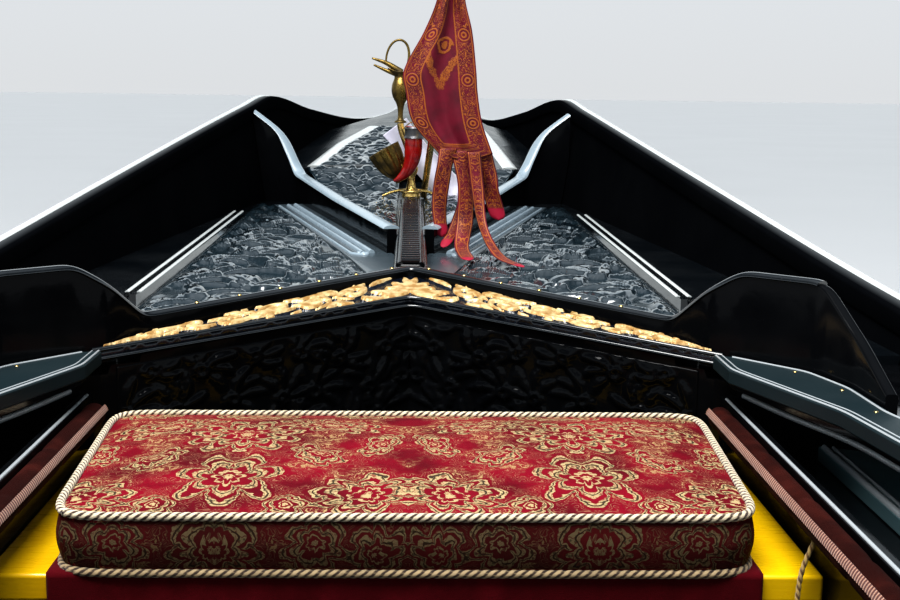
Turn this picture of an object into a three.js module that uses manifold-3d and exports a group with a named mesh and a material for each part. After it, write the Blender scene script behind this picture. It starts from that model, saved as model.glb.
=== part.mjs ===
// A full-size gondola: flat bottom, flared sides, both ends bent a little to starboard.
// Frame: millimetres, +Y to the bow, +X to starboard, +Z up, origin on the flat bottom amidships.
import * as THREE from 'three';
import { mergeVertices } from 'three/addons/utils/BufferGeometryUtils.js';
import Module from 'manifold-3d';

const wasm = await Module();
wasm.setup();

// Driving dimensions, millimetres
const GAP = 0.3;
const PLANK = 18;
const BOTTOM_PLANK = 22;
const PLANK_END = 5020;
const STEM_END = 5200;
const GUNWALE = { inward: 30, outward: 14, height: 34 };
const FLOOR_TOP = 70;
const DECK_THICK = 16;

// Hull stations. Columns: y, centre, sheerHalf, sheerZ, bottomHalf, bottomZ
const STATIONS = [
  [-5200, 160, 16, 1330, 14, 1225],
  [-5020, 139, 62, 1225, 32, 905],
  [-4600, 98, 150, 1060, 60, 560],
  [-4000, 56, 285, 920, 120, 255],
  [-3300, 26, 425, 815, 200, 95],
  [-2600, 10, 545, 750, 285, 22],
  [-1500, 1, 665, 702, 385, 0],
  [-700, 0, 700, 694, 425, 0],
  [0, 0, 702, 702, 432, 0],
  [760, 0, 662, 743, 418, 0],
  [1500, 1, 571, 835, 375, 0],
  [2000, 3, 507, 900, 320, 8],
  [2450, 8, 440, 962, 270, 22],
  [2650, 11, 412, 985, 246, 32],
  [3100, 20, 356, 943, 190, 70],
  [3750, 43, 267, 899, 125, 170],
  [4400, 82, 177, 905, 70, 390],
  [4850, 121, 95, 978, 40, 640],
  [5020, 139, 62, 1032, 30, 790],
  [5200, 160, 14, 1110, 13, 1010],
];
const COLUMN = { centre: 1, sheerHalf: 2, sheerZ: 3, bottomHalf: 4, bottomZ: 5 };
const FLARE_POWER = 0.8;
const PLANK_LEVELS = [0, 0.25, 0.5, 0.75, 1];
const LOFT_STEPS = [
  -5020, -4820, -4600, -4300, -4000, -3650, -3300, -2950, -2600, -2500, -2340, -2050,
  -1500, -1100, -700, -350, 0, 380, 760, 1130, 1500, 1750, 2000, 2225, 2450, 2650,
  2875, 3100, 3425, 3750, 4075, 4400, 4625, 4850, 5020,
];

// Bow half of the cockpit. Columns: x, y, top height
const NEAR_COAMING = [
  [0, 1018, 744], [350, 724, 719], [384, 672, 768], [385, 670.5, 769], [416, 645, 793],
  [490, 550, 796], [508, 470, 745], [512, 380, 703],
];
const COAMING_ON_DECK = 3;
const FAR_COAMING = [
  [36, 1500, 752], [160, 1950, 766], [284, 2390, 790], [334, 2432, 894], [408, 2446, 948],
];
const BAND = { frontY: 900, frontZ: 719, sideX: 394, sideY: 650, sideZ: 688, thick: 14, rise: 0.07 };
const CAP_TOP = 690;
const SIDE_DECK_TOP = 672;
const COCKPIT_AFT = -1690;
const SHELF = { top: 600, thick: 18, inner: 490, foreY: 545 };
const SIDE_BOARD = { inner: 395, thick: 14, top: 636, foreY: 637, aftY: -350, ledge: 581.7, bearer: 539.7 };
const ROLL = { x: 380.6, z: 622, radius: 14, foreY: 604, aftY: -350 };
const BENCH = { half: 394.5, frontY: 210, backY: 636, top: 567, thick: 27 };
const CUSHION = { frontHalf: 325, backHalf: 350, frontY: 203, backY: 584, bottom: 571, top: 628 };
const DRAPE = { half: 334, bottom: 392, thick: 3 };
const DECK_AT = { y: 1000, z: 690, slope: 0.02 };
const SPINE = { half: 23, foreY: 2120, aftY: 1030, bottom: 655, aftTop: 748, foreTop: 760 };
const FORE_DECK = { y: 2455.3, left: -262, right: 272, z: 806, endX: 160, endY: 5200, endZ: 1060 };
const APEX_DECK = { aftY: 1540, foreY: 2455, aftZ: 722, foreZ: 770 };
const SEAT = { half: 455, baseHalf: 330, frontY: -1090, backY: -1640, top: 350, thick: 20 };
const HATCH = { x: 0, halfX: 185, foreY: -2180, aftY: -2560, thick: 16, opening: 24 };
const OARLOCK = { x: 590, y: -2420, z: 1120, wide: 26 };
const OAR = { length: 4200, inboard: 1250, shaft: 21, blade: 150 };
const HOLDER = { x: 0, y: 2085, z: 771.2 };
const CHARM_TOP = 927;
const IRON_THICK = 12;
const IRON_SEAT = 1.6;
const COMB = { count: 6, first: 1085, pitch: 46, reach: 136, high: 26 };
const FLAG = { y: 1535, thick: 24 };
const PENNANT = { y: 2166, thick: 10 };
const FRAME_LENGTHS = [-1560, -1020, -480, 60, 450];

// Linear maths on the station table, smoothed by a cubic through neighbouring stations
function station(y, name) {
  const column = COLUMN[name];
  const rows = STATIONS;
  let i = 1;
  while (i < rows.length - 1 && rows[i][0] < y) i += 1;
  const a = rows[i - 1];
  const b = rows[i];
  const span = b[0] - a[0];
  const before = rows[Math.max(i - 2, 0)];
  const after = rows[Math.min(i + 1, rows.length - 1)];
  const inner = (b[column] - a[column]) / span;
  const slopeA = i > 1 ? 0.5 * (inner + (a[column] - before[column]) / (a[0] - before[0])) : inner;
  const last = i === rows.length - 1;
  const slopeB = last ? inner : 0.5 * (inner + (after[column] - b[column]) / (after[0] - b[0]));
  const t = (y - a[0]) / span;
  const h = 1 - t;
  const bend = inner === 0 ? 0 : h * t * span * (h * slopeA - t * slopeB);
  return a[column] * h * h * (1 + 2 * t) + b[column] * t * t * (3 - 2 * t) + bend;
}

// Outside half-breadth of the hull at a length and a height
function hullHalf(y, z) {
  const low = station(y, 'bottomZ');
  const part = Math.max((z - low) / (station(y, 'sheerZ') - low), 0);
  const wide = station(y, 'sheerHalf') - station(y, 'bottomHalf');
  return station(y, 'bottomHalf') + wide * part ** FLARE_POWER;
}

function point(x, y, z) {
  return new THREE.Vector3(x, y, z);
}

// A closed geometry from points and triangles, turned so that its faces look outwards
function closedMesh(points, triangles) {
  let volume = 0;
  for (const [a, b, c] of triangles) {
    volume += points[a].dot(point(0, 0, 0).crossVectors(points[b], points[c]));
  }
  const order = volume < 0 ? triangles.map(([a, b, c]) => [a, c, b]) : triangles;
  const geometry = new THREE.BufferGeometry();
  const places = points.flatMap((p) => p.toArray());
  geometry.setAttribute('position', new THREE.Float32BufferAttribute(places, 3));
  geometry.setIndex(order.flat());
  return geometry;
}

// Triangles of a flat ring of points, worked out on the plane that it fills best
function capTriangles(ring) {
  const normal = point(0, 0, 0);
  ring.forEach((p, i) => {
    const q = ring[(i + 1) % ring.length];
    normal.x += (p.y - q.y) * (p.z + q.z);
    normal.y += (p.z - q.z) * (p.x + q.x);
    normal.z += (p.x - q.x) * (p.y + q.y);
  });
  const size = [Math.abs(normal.x), Math.abs(normal.y), Math.abs(normal.z)];
  const drop = size.indexOf(Math.max(...size));
  const flat = ring.map((p) => {
    const v = p.toArray().filter((_, k) => k !== drop);
    return new THREE.Vector2(v[0], v[1]);
  });
  const turned = THREE.ShapeUtils.isClockWise(flat);
  const order = ring.map((_, i) => (turned ? ring.length - 1 - i : i));
  const faces = THREE.ShapeUtils.triangulateShape(order.map((i) => flat[i]), []);
  const wound = turned ? faces.map(([a, b, c]) => [a, c, b]) : faces;
  return wound.map((face) => face.map((i) => order[i]));
}

// A solid through rings of equally many points, with both ends closed
function loft(rings) {
  const count = rings[0].length;
  const points = rings.flat();
  const triangles = [];
  for (let i = 0; i < rings.length - 1; i += 1) {
    for (let j = 0; j < count; j += 1) {
      const a = i * count + j;
      const b = i * count + ((j + 1) % count);
      triangles.push([a, b, b + count], [a, b + count, a + count]);
    }
  }
  const last = (rings.length - 1) * count;
  capTriangles(rings[0]).forEach(([a, b, c]) => triangles.push([a, c, b]));
  capTriangles(rings[0]).forEach(([a, b, c]) => triangles.push([last + a, last + b, last + c]));
  return closedMesh(points, triangles);
}

// A plate over a plan outline, its top height a function of x and y
function slab(outline, topZ, thick) {
  const upper = outline.map(([x, y]) => point(x, y, topZ(x, y)));
  const lower = upper.map((p) => point(p.x, p.y, p.z - thick));
  return loft([lower, upper]);
}

// An upright board along a plan path of x, y, top and bottom heights
function board(path, thick) {
  const rings = path.map(([x, y, top, bottom], i) => {
    const before = path[Math.max(i - 1, 0)];
    const after = path[Math.min(i + 1, path.length - 1)];
    const unit = (p, q) => new THREE.Vector2(q[0] - p[0], q[1] - p[1]).normalize();
    const into = i > 0 ? unit(before, path[i]) : unit(path[i], after);
    const out = i < path.length - 1 ? unit(path[i], after) : into;
    const normal = new THREE.Vector2(-(into.y + out.y), into.x + out.x).normalize();
    const mitre = thick / 2 / Math.max(normal.dot(new THREE.Vector2(-into.y, into.x)), 0.5);
    const dx = normal.x * mitre;
    const dy = normal.y * mitre;
    return [
      point(x - dx, y - dy, bottom), point(x + dx, y + dy, bottom),
      point(x + dx, y + dy, top), point(x - dx, y - dy, top),
    ];
  });
  return loft(rings);
}

// A bar of constant cross-section, its corners given as x and z, between two lengths
function bar(section, y1, y2) {
  return loft([y1, y2].map((y) => section.map(([x, z]) => point(x, y, z))));
}

function box(x1, x2, y1, y2, z1, z2) {
  return bar([[x1, z1], [x2, z1], [x2, z2], [x1, z2]], y1, y2);
}

// A round rod along a smooth path
function rod(path, radius, sides, steps) {
  const section = new THREE.Shape();
  section.absarc(0, 0, radius, 0, 2 * Math.PI);
  const curve = new THREE.CatmullRomCurve3(path.map(([x, y, z]) => point(x, y, z)));
  const options = { steps, extrudePath: curve, curveSegments: sides, bevelEnabled: false };
  return new THREE.ExtrudeGeometry(section, options);
}

// A turned solid about its own Z axis, the profile given as radius and height
function turned(profile, sides) {
  const geometry = new THREE.LatheGeometry(profile.map(([r, z]) => new THREE.Vector2(r, z)), sides);
  geometry.rotateX(Math.PI / 2);
  return geometry;
}

// A flat plate in the X-Z plane, centred on y = 0
function plate(outline, thick, bevel = 0) {
  const shape = new THREE.Shape(outline.map(([x, z]) => new THREE.Vector2(x, z)));
  const options = {
    depth: thick - 2 * bevel, bevelEnabled: bevel > 0, bevelSize: bevel, bevelOffset: -bevel,
    bevelThickness: bevel, bevelSegments: 2,
  };
  const geometry = new THREE.ExtrudeGeometry(shape, options);
  geometry.translate(0, 0, bevel - thick / 2);
  geometry.rotateX(Math.PI / 2);
  return geometry;
}

function toSolid(source) {
  const geometry = source.clone();
  geometry.deleteAttribute('normal');
  geometry.deleteAttribute('uv');
  const merged = mergeVertices(geometry, 1e-3);
  const vertProperties = new Float32Array(merged.attributes.position.array);
  const triVerts = new Uint32Array(merged.index.array);
  return new wasm.Manifold(new wasm.Mesh({ numProp: 3, vertProperties, triVerts }));
}

function toGeometry(solid) {
  const mesh = solid.getMesh();
  const geometry = new THREE.BufferGeometry();
  geometry.setAttribute('position', new THREE.BufferAttribute(new Float32Array(mesh.vertProperties), 3));
  geometry.setIndex(new THREE.BufferAttribute(new Uint32Array(mesh.triVerts), 1));
  return geometry;
}

function join(...parts) {
  return toGeometry(parts.map(toSolid).reduce((sum, part) => sum.add(part)));
}

function cut(body, ...tools) {
  return toGeometry(tools.map(toSolid).reduce((rest, tool) => rest.subtract(tool), toSolid(body)));
}

function mirrored(outline) {
  return outline.map(([x, ...rest]) => [-x, ...rest]);
}

// Finishes
function finish(colour, roughness, metalness) {
  return new THREE.MeshStandardMaterial({ color: colour, roughness, metalness });
}

const LACQUER = finish(0x0b0c0d, 0.12, 0);
const TARRED = finish(0x141414, 0.6, 0);
const STEEL = finish(0xb8bcc0, 0.3, 1);
const BRASS = finish(0xb08a3c, 0.3, 1);
const GILDING = finish(0xd8a84a, 0.35, 0.8);
const YELLOW = finish(0xd99a08, 0.4, 0);
const DAMASK = finish(0x8a1420, 0.8, 0);
const DRAPERY = finish(0x5a0a12, 0.85, 0);
const VELVET = finish(0x6a2a22, 0.9, 0);
const CRIMSON = finish(0x9a1020, 0.75, 0);
const WHITE_CLOTH = finish(0xd8d8ea, 0.8, 0);
const WOOD = finish(0x8a5a30, 0.5, 0);
const HORN_RED = finish(0x8a0806, 0.25, 0);

const gondola = new THREE.Group();

function add(name, geometry, material, parent = gondola) {
  const mesh = new THREE.Mesh(geometry, material);
  mesh.name = name;
  parent.add(mesh);
  return mesh;
}

const SIDES = [['starboard', 1], ['port', -1]];

// Hull
function bottomPlanking() {
  return loft(LOFT_STEPS.map((y) => {
    const c = station(y, 'centre');
    const half = station(y, 'bottomHalf');
    const z = station(y, 'bottomZ');
    return [
      point(c - half, y, z), point(c + half, y, z),
      point(c + half, y, z + BOTTOM_PLANK), point(c - half, y, z + BOTTOM_PLANK),
    ];
  }));
}

function sidePlanking(side) {
  return loft(LOFT_STEPS.map((y) => {
    const c = station(y, 'centre');
    const low = station(y, 'bottomZ') + BOTTOM_PLANK + GAP;
    const high = station(y, 'sheerZ') - GUNWALE.height - GAP;
    const heights = PLANK_LEVELS.map((t) => low + (high - low) * t);
    const outer = heights.map((z) => point(c + side * hullHalf(y, z), y, z));
    const inner = heights.map((z) => point(c + side * (hullHalf(y, z) - PLANK), y, z));
    return side > 0 ? [...outer, ...inner.reverse()] : [...inner, ...outer.reverse()];
  }));
}

// The space inside the planking and between the gunwales, a little clear of both
function hullInside() {
  return loft(LOFT_STEPS.map((y) => {
    const c = station(y, 'centre');
    const low = station(y, 'bottomZ') + BOTTOM_PLANK + GAP;
    const top = station(y, 'sheerZ');
    const high = top - GUNWALE.height - GAP;
    const heights = PLANK_LEVELS.map((t) => low + (high - low) * t);
    const wide = heights.map((z) => hullHalf(y, z) - PLANK - GAP);
    const neck = station(y, 'sheerHalf') - GUNWALE.inward - GAP;
    const wall = (side) => [
      ...heights.map((z, i) => point(c + side * wide[i], y, z)),
      point(c + side * neck, y, high), point(c + side * neck, y, top + 200),
    ];
    return [...wall(1).reverse(), ...wall(-1)];
  }));
}

function gunwale(side) {
  return loft(LOFT_STEPS.map((y) => {
    const c = station(y, 'centre');
    const half = station(y, 'sheerHalf');
    const top = station(y, 'sheerZ');
    const inner = c + side * (half - GUNWALE.inward);
    const outer = c + side * (half + GUNWALE.outward);
    return [
      point(inner, y, top - GUNWALE.height), point(outer, y, top - GUNWALE.height),
      point(outer, y, top), point(inner, y, top),
    ];
  }));
}

// A solid end of the hull, from the planking to its tip, sign 1 at the bow and -1 at the stern
function hullEnd(sign) {
  const steps = [PLANK_END + GAP, PLANK_END + 60, PLANK_END + 120, STEM_END];
  return loft(steps.map((step) => {
    const y = sign * step;
    const c = station(y, 'centre');
    const low = station(y, 'bottomZ');
    const top = station(y, 'sheerZ');
    const middle = 0.5 * (low + top);
    const wide = [station(y, 'bottomHalf'), hullHalf(y, middle), station(y, 'sheerHalf')];
    const heights = [low, middle, top];
    const right = heights.map((z, i) => point(c + wide[i], y, z));
    const left = heights.map((z, i) => point(c - wide[i], y, z));
    return [...right, ...left.reverse()];
  }));
}

// Plan line of an end iron: it lies along the bent centre line
function ironGroup(sign) {
  const group = new THREE.Group();
  group.position.set(160, sign * STEM_END, 0);
  group.rotation.z = -sign * 0.105;
  gondola.add(group);
  return group;
}

// The bow iron: a blade down the stem, a neck, six teeth forward, one aft, and the hooked head
function bowIron() {
  const lengths = [4625, 4700, 4850, 4950, PLANK_END, 5080, 5140, STEM_END];
  const under = lengths.map((y) => [y - STEM_END, station(y, 'bottomZ') - 1.2]);
  const front = [
    [56, 1050], [42, 990], [4, 900], [-70, 790], [-160, 670], [-260, 545], [-380, 430], [-520, 372],
  ];
  const { count, first, pitch, reach, high } = COMB;
  const teeth = Array.from({ length: count }, (_, i) => {
    const z = first + (count - 1 - i) * pitch;
    return [[56, z + high], [reach, z + high - 3], [reach, z + 3], [56, z]];
  }).flat();
  const head = [
    [IRON_SEAT, 1008], [IRON_SEAT, 1245], [-52, 1248], [-52, 1274], [8, 1278], [8, 1370],
    [-22, 1420], [-30, 1480], [0, 1545], [70, 1585],
    [150, 1580], [186, 1540], [170, 1505], [118, 1488], [86, 1450], [72, 1400], [56, 1365],
  ];
  const geometry = plate([...under, ...head, ...teeth, ...front], IRON_THICK);
  geometry.rotateZ(Math.PI / 2);
  return geometry;
}

function sternIron() {
  const outline = [
    [8, 1232], [8, 1345], [-30, 1390], [-34, 1440], [0, 1478], [52, 1480], [80, 1448], [66, 1412],
    [40, 1398], [44, 1350], [44, 1240], [20, 1190], [-30, 1110], [-60, 1060], [-52, 1120], [-20, 1185],
  ];
  const geometry = plate(outline, IRON_THICK);
  geometry.rotateZ(-Math.PI / 2);
  return geometry;
}

// A piece trimmed to the planking and gunwales
function fitted(geometry) {
  return toGeometry(toSolid(geometry).intersect(INSIDE));
}

// Frames of the cockpit: floors and side arms against the planking, on one keelson
function frames() {
  const floorUnder = FLOOR_TOP - DECK_THICK - GAP;
  const low = BOTTOM_PLANK + GAP;
  const parts = FRAME_LENGTHS.map((y) => {
    const arm = [floorUnder, 200, 370, 540].map((z) => [hullHalf(y, z) - PLANK - 36, z]);
    const half = [[720, low], [720, 540], ...arm.reverse()];
    const section = [...half, ...mirrored(half).reverse()];
    return bar(section, y - 16, y + 16);
  });
  const keelson = box(-45, 45, -1600, 560, low, floorUnder);
  return fitted(join(keelson, ...parts));
}

// Height of the hull's inner face above the floor's underside sets the floor's edge
function floorboards() {
  const lengths = [-1660, -1100, -500, 60, 520];
  const right = lengths.map((y) => [hullHalf(y, FLOOR_TOP) - PLANK - 54, y]);
  const outline = [...right, [380, 600], [0, 850], [-380, 600], ...mirrored(right).reverse()];
  return fitted(slab(outline, () => FLOOR_TOP, DECK_THICK));
}

// Decks
function deckZ(x, y) {
  return DECK_AT.z + DECK_AT.slope * (y - DECK_AT.y);
}

function carvedDeck(side) {
  const inner = [[900, 677], [900, 2452], [340, 2452], [284, 2412], [148, 1950], [SPINE.half + GAP, 1503],
    [SPINE.half + GAP, 989.5], [343, 721], [372, 677]];
  const top = fitted(slab(side > 0 ? inner : mirrored(inner), deckZ, DECK_THICK));
  const rail = (offset) => loft([[1010, 416], [2120, 394]].map(([y, x]) => {
    const x1 = side * (x + offset);
    const z = deckZ(0, y);
    return [point(x1, y, z - 4), point(x1 + side * 10, y, z - 4), point(x1 + side * 10, y, z + 11),
      point(x1, y, z + 11)];
  }));
  return join(top, rail(0), rail(18));
}

function deckSpine() {
  const { half, foreY, aftY, bottom, aftTop, foreTop } = SPINE;
  return loft([[aftY, aftTop], [foreY, foreTop]].map(([y, top]) => [
    point(-half, y, bottom), point(half, y, bottom), point(half, y, top - 8),
    point(half - 8, y, top), point(-half + 8, y, top), point(-half, y, top - 8),
  ]));
}

function farCoaming(side) {
  const path = FAR_COAMING.map(([x, y, top]) => [side * x, y, top, deckZ(0, y) + GAP]);
  return fitted(board(side > 0 ? path : path.reverse(), 18));
}

function nearCoaming() {
  const half = NEAR_COAMING.map(([x, y, top], i) => {
    const bottom = i < COAMING_ON_DECK ? deckZ(0, y) + GAP : SIDE_DECK_TOP + GAP;
    return [x, y, top, bottom];
  });
  return board([...mirrored(half).reverse(), ...half.slice(1)], 14);
}

// Height of the gilded band: falls from the centre to the sides and rises a little forward
function bandZ(x, y) {
  const across = Math.abs(x) / BAND.sideX;
  const front = BAND.frontY + (BAND.sideY - BAND.frontY) * across;
  return BAND.frontZ + (BAND.sideZ - BAND.frontZ) * across + BAND.rise * Math.max(y - front, 0);
}

function gildedBand() {
  const right = [
    [0, BAND.frontY], [197, 775], [BAND.sideX, BAND.sideY - 1], [376, 664], [337, 721.5], [172, 862],
  ];
  const outline = [...right, [0, 1007], ...mirrored(right.slice(1)).reverse()];
  return slab(outline, bandZ, BAND.thick);
}

function carvedBulkhead() {
  const floor = FLOOR_TOP + GAP;
  const under = (x, y) => bandZ(x, y) - BAND.thick - GAP;
  const deckUnder = SIDE_DECK_TOP - DECK_THICK - GAP;
  const carvedUnder = deckZ(0, 670) - DECK_THICK - GAP;
  const half = [[0, 911, under(0, BAND.frontY), floor], [346, 691.3, under(346, 682) - 1, floor],
    [348, 690, carvedUnder, floor], [380, 669.8, carvedUnder, floor], [384, 667, deckUnder, floor],
    [392, 662, deckUnder, floor], [640, 461, deckUnder, floor]];
  return fitted(board([...mirrored(half).reverse(), ...half.slice(1)], 16));
}

function apexRise(y) {
  const { aftY, foreY, aftZ, foreZ } = APEX_DECK;
  return ((foreZ - aftZ) * (y - aftY)) / (foreY - aftY);
}

// The V-shaped deck between the arms of the far coaming, notched for the spine
function apexDeck() {
  const inner = SPINE.half + GAP;
  const { aftY, foreY, aftZ } = APEX_DECK;
  const half = [[inner, aftY], [36.5, aftY], [149.8, 1950], [270, 2390], [320, 2441], [324, foreY]];
  const notch = [[-inner, SPINE.foreY + GAP], [inner, SPINE.foreY + GAP]];
  const outline = [...half, ...mirrored(half).reverse(), ...notch];
  return slab(outline, (x, y) => aftZ + apexRise(y), DECK_THICK);
}

// The raised fore deck: a ridge panel that narrows to the stem, with sides sloping to the planking
function foreDeck() {
  const lengths = [FORE_DECK.y, 2650, 2875, 3100, 3425, 3750, 4075, 4400, 4625, 4850, PLANK_END - 2];
  return fitted(loft(lengths.map((y) => {
    const t = (y - FORE_DECK.y) / (FORE_DECK.endY - FORE_DECK.y);
    const mix = (a, b) => a + (b - a) * t;
    const z = mix(FORE_DECK.z, FORE_DECK.endZ);
    const low = Math.min(z - 20, station(y, 'sheerZ') - 40);
    const left = mix(FORE_DECK.left, FORE_DECK.endX);
    const right = mix(FORE_DECK.right, FORE_DECK.endX);
    const c = station(y, 'centre');
    const reach = station(y, 'sheerHalf');
    const neck = reach - GUNWALE.inward - 4;
    const outline = [[c - reach, low], [Math.min(c - neck, left - 1), low], [left, z],
      [0.5 * (left + right), z + 6], [right, z], [Math.max(c + neck, right + 1), low], [c + reach, low]];
    const upper = outline.map(([x, h]) => point(x, y, h));
    const lower = outline.map(([x, h]) => point(x, y, h - DECK_THICK)).reverse();
    return [...upper, ...lower];
  })));
}

// Cockpit sides
function sideDeck(side) {
  const outline = [
    [900, COCKPIT_AFT], [900, 676.7], [398, 676.7], [398, 600], [410, 560], [474, 357], [488, 227],
    [540, -200], [562, -900], [545, COCKPIT_AFT],
  ];
  return fitted(slab(side > 0 ? outline : mirrored(outline), () => SIDE_DECK_TOP, DECK_THICK));
}

function cockpitCap(side) {
  const inner = [
    [381, 640], [381, 556], [450, 357], [466, 227], [518, -200], [540, -900], [523, COCKPIT_AFT],
  ];
  const outer = [[592, COCKPIT_AFT], [610, -900], [588, -200], [532, 227], [503, 357], [500, 465],
    [478, 550], [408, 634]];
  const outline = [...inner, ...outer];
  const top = slab(side > 0 ? outline : mirrored(outline), () => CAP_TOP, CAP_TOP - SIDE_DECK_TOP - GAP);
  return top;
}

function sideShelf(side) {
  const { inner, foreY, top, thick } = SHELF;
  const outline = [
    [inner, COCKPIT_AFT], [inner, foreY], [530, 528], [700, 392], [900, 300], [900, COCKPIT_AFT],
  ];
  return fitted(slab(side > 0 ? outline : mirrored(outline), () => top, thick));
}

// Inner side board with its bench bearer and the ledge that carries the shelf
function sideBoard(side) {
  const { inner, thick, top, ledge, bearer, foreY, aftY } = SIDE_BOARD;
  const outer = inner + thick;
  const floor = FLOOR_TOP + GAP;
  const section = [
    [inner, floor], [outer, floor], [outer, ledge - 16], [515, ledge - 16], [515, ledge], [outer, ledge],
    [outer, top], [inner, top], [inner, bearer], [inner - 22, bearer], [inner - 22, bearer - 25],
    [inner, bearer - 25],
  ];
  const foreEnd = (x) => Math.min(foreY + 11, foreY - 0.81 * (x - outer));
  const ends = [() => aftY, foreEnd];
  return loft(ends.map((end) => section.map(([x, z]) => point(side * x, end(x), z))));
}

function paddedRoll(side) {
  const path = [[side * ROLL.x, ROLL.aftY, ROLL.z], [side * ROLL.x, ROLL.foreY, ROLL.z]];
  return rod(path, ROLL.radius, 10, 2);
}

function bowBench() {
  return box(-BENCH.half, BENCH.half, BENCH.frontY, BENCH.backY, BENCH.top - BENCH.thick, BENCH.top);
}

// A box cushion in plan: rounded corners, wider at the back
function cushion(outline, bottom, top, round) {
  const shape = new THREE.Shape();
  const corner = (i) => new THREE.Vector2(...outline[i % outline.length]);
  outline.forEach((_, i) => {
    const here = corner(i);
    const towards = (other) => here.clone().add(other.clone().sub(here).setLength(round));
    const start = towards(corner(i + outline.length - 1));
    const end = towards(corner(i + 1));
    if (i === 0) shape.moveTo(start.x, start.y);
    else shape.lineTo(start.x, start.y);
    shape.quadraticCurveTo(here.x, here.y, end.x, end.y);
  });
  const bevel = 10;
  const options = {
    depth: top - bottom - 2 * bevel, curveSegments: 5, bevelEnabled: true, bevelSize: bevel,
    bevelOffset: -bevel, bevelThickness: bevel, bevelSegments: 2,
  };
  const geometry = new THREE.ExtrudeGeometry(shape, options);
  geometry.translate(0, 0, bottom + bevel);
  return geometry;
}

function bowCushion() {
  const { frontHalf, backHalf, frontY, backY, bottom, top } = CUSHION;
  const outline = [[-frontHalf, frontY], [frontHalf, frontY], [backHalf, backY], [-backHalf, backY]];
  return cushion(outline, bottom, top, 40);
}

function benchDrape() {
  const face = BENCH.frontY - GAP;
  const top = BENCH.top + GAP;
  const section = [
    [face - DRAPE.thick, DRAPE.bottom], [face, DRAPE.bottom], [face, top], [face + 80, top],
    [face + 80, top + DRAPE.thick], [face - DRAPE.thick, top + DRAPE.thick],
  ];
  return loft([-DRAPE.half, DRAPE.half].map((x) => section.map(([y, z]) => point(x, y, z))));
}

// Main seat
function mainSeat() {
  const { half, baseHalf, frontY, backY, top, thick } = SEAT;
  const floor = FLOOR_TOP + GAP;
  const plank = box(-half, half, backY, frontY, top - thick, top);
  const front = box(-baseHalf, baseHalf, frontY - 50, frontY - 30, floor, top - thick + 1);
  const back = box(-baseHalf, baseHalf, backY, backY + 20, floor, top - thick + 1);
  const ends = SIDES.map(([, side]) => {
    const x = side > 0 ? baseHalf - 20 : -baseHalf;
    return box(x, x + 20, backY + 10, frontY - 40, floor, top - thick + 1);
  });
  return join(plank, front, back, ...ends);
}

function seatCushion() {
  const { half, frontY, backY, top } = SEAT;
  const outline = [[-half + 8, backY + 50], [half - 8, backY + 50], [half - 8, frontY], [-half + 8, frontY]];
  return cushion(outline, top + GAP, top + 85, 45);
}

// The seat back: an arched board standing on the seat plank
function seatBack() {
  const half = SEAT.half - 6;
  const foot = SEAT.top + GAP;
  const shape = new THREE.Shape();
  shape.moveTo(-half, foot);
  shape.lineTo(half, foot);
  shape.lineTo(half, 700);
  shape.quadraticCurveTo(half - 20, 800, 250, 815);
  shape.quadraticCurveTo(150, 830, 0, 900);
  shape.quadraticCurveTo(-150, 830, -250, 815);
  shape.quadraticCurveTo(-half + 20, 800, -half, 700);
  const geometry = new THREE.ExtrudeGeometry(shape, { depth: 20, curveSegments: 6, bevelEnabled: false });
  geometry.rotateX(Math.PI / 2);
  geometry.translate(0, SEAT.backY + 22, 0);
  return geometry;
}

function backCushion() {
  const bottom = SEAT.top + 90;
  const outline = [[-400, bottom], [400, bottom], [380, 740], [-380, 740]];
  const geometry = cushion(outline, 0, 60, 60);
  geometry.rotateX(Math.PI / 2);
  geometry.translate(0, SEAT.backY + 22 + GAP + 60, 0);
  return geometry;
}

// Stern
function sternBulkhead() {
  const y = COCKPIT_AFT - 12;
  const outline = [[-900, FLOOR_TOP + GAP], [900, FLOOR_TOP + GAP], [900, 640], [-900, 640]];
  return fitted(bar(outline, y - 16, y));
}

// Top of the crowned aft deck
function aftDeckZ(x, y) {
  const half = station(y, 'sheerHalf');
  const across = (x - station(y, 'centre')) / half;
  return station(y, 'sheerZ') - 30 + 26 * (half / 660) * (1 - across * across);
}

function aftDeck() {
  const lengths = [
    -1700, -2050, -2325, -2600, -2950, -3300, -3650, -4000, -4300, -4600, -4820, 2 - PLANK_END,
  ];
  const deck = fitted(loft(lengths.map((y) => {
    const c = station(y, 'centre');
    const half = station(y, 'sheerHalf');
    const upper = [-1, -0.6, -0.25, 0.25, 0.6, 1].map((part) => {
      const x = c + part * half;
      return point(x, y, aftDeckZ(x, y));
    });
    const lower = upper.map((p) => point(p.x, y, p.z - DECK_THICK)).reverse();
    return [...upper, ...lower];
  })));
  const { x, halfX, foreY, aftY, opening } = HATCH;
  const hole = box(x - halfX + opening, x + halfX - opening, aftY + opening, foreY - opening, 500, 900);
  const frameTop = hatchZ() - GAP;
  const rim = box(x - halfX + 4, x + halfX - 4, aftY + 4, foreY - 4, frameTop - 55, frameTop);
  return cut(join(deck, rim), hole);
}

// Underside of the hatch lid, level, just above the crown of the deck
function hatchZ() {
  return aftDeckZ(0, HATCH.aftY) + 8;
}

function sternHatch() {
  const { x, halfX, foreY, aftY, thick } = HATCH;
  const low = hatchZ();
  return box(x - halfX, x + halfX, aftY, foreY, low, low + thick);
}

// The sloping footboard on the aft deck
function footboard() {
  const ends = [-3420, -3000];
  const highest = (y) => aftDeckZ(station(y, 'centre'), y) + GAP;
  const section = [
    [ends[0], highest(ends[0])], [ends[1], highest(ends[1])], [ends[1], highest(ends[1]) + 18],
    [ends[0], highest(ends[0]) + 42],
  ];
  return loft([-190, 70].map((x) => section.map(([y, z]) => point(x, y, z))));
}

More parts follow.
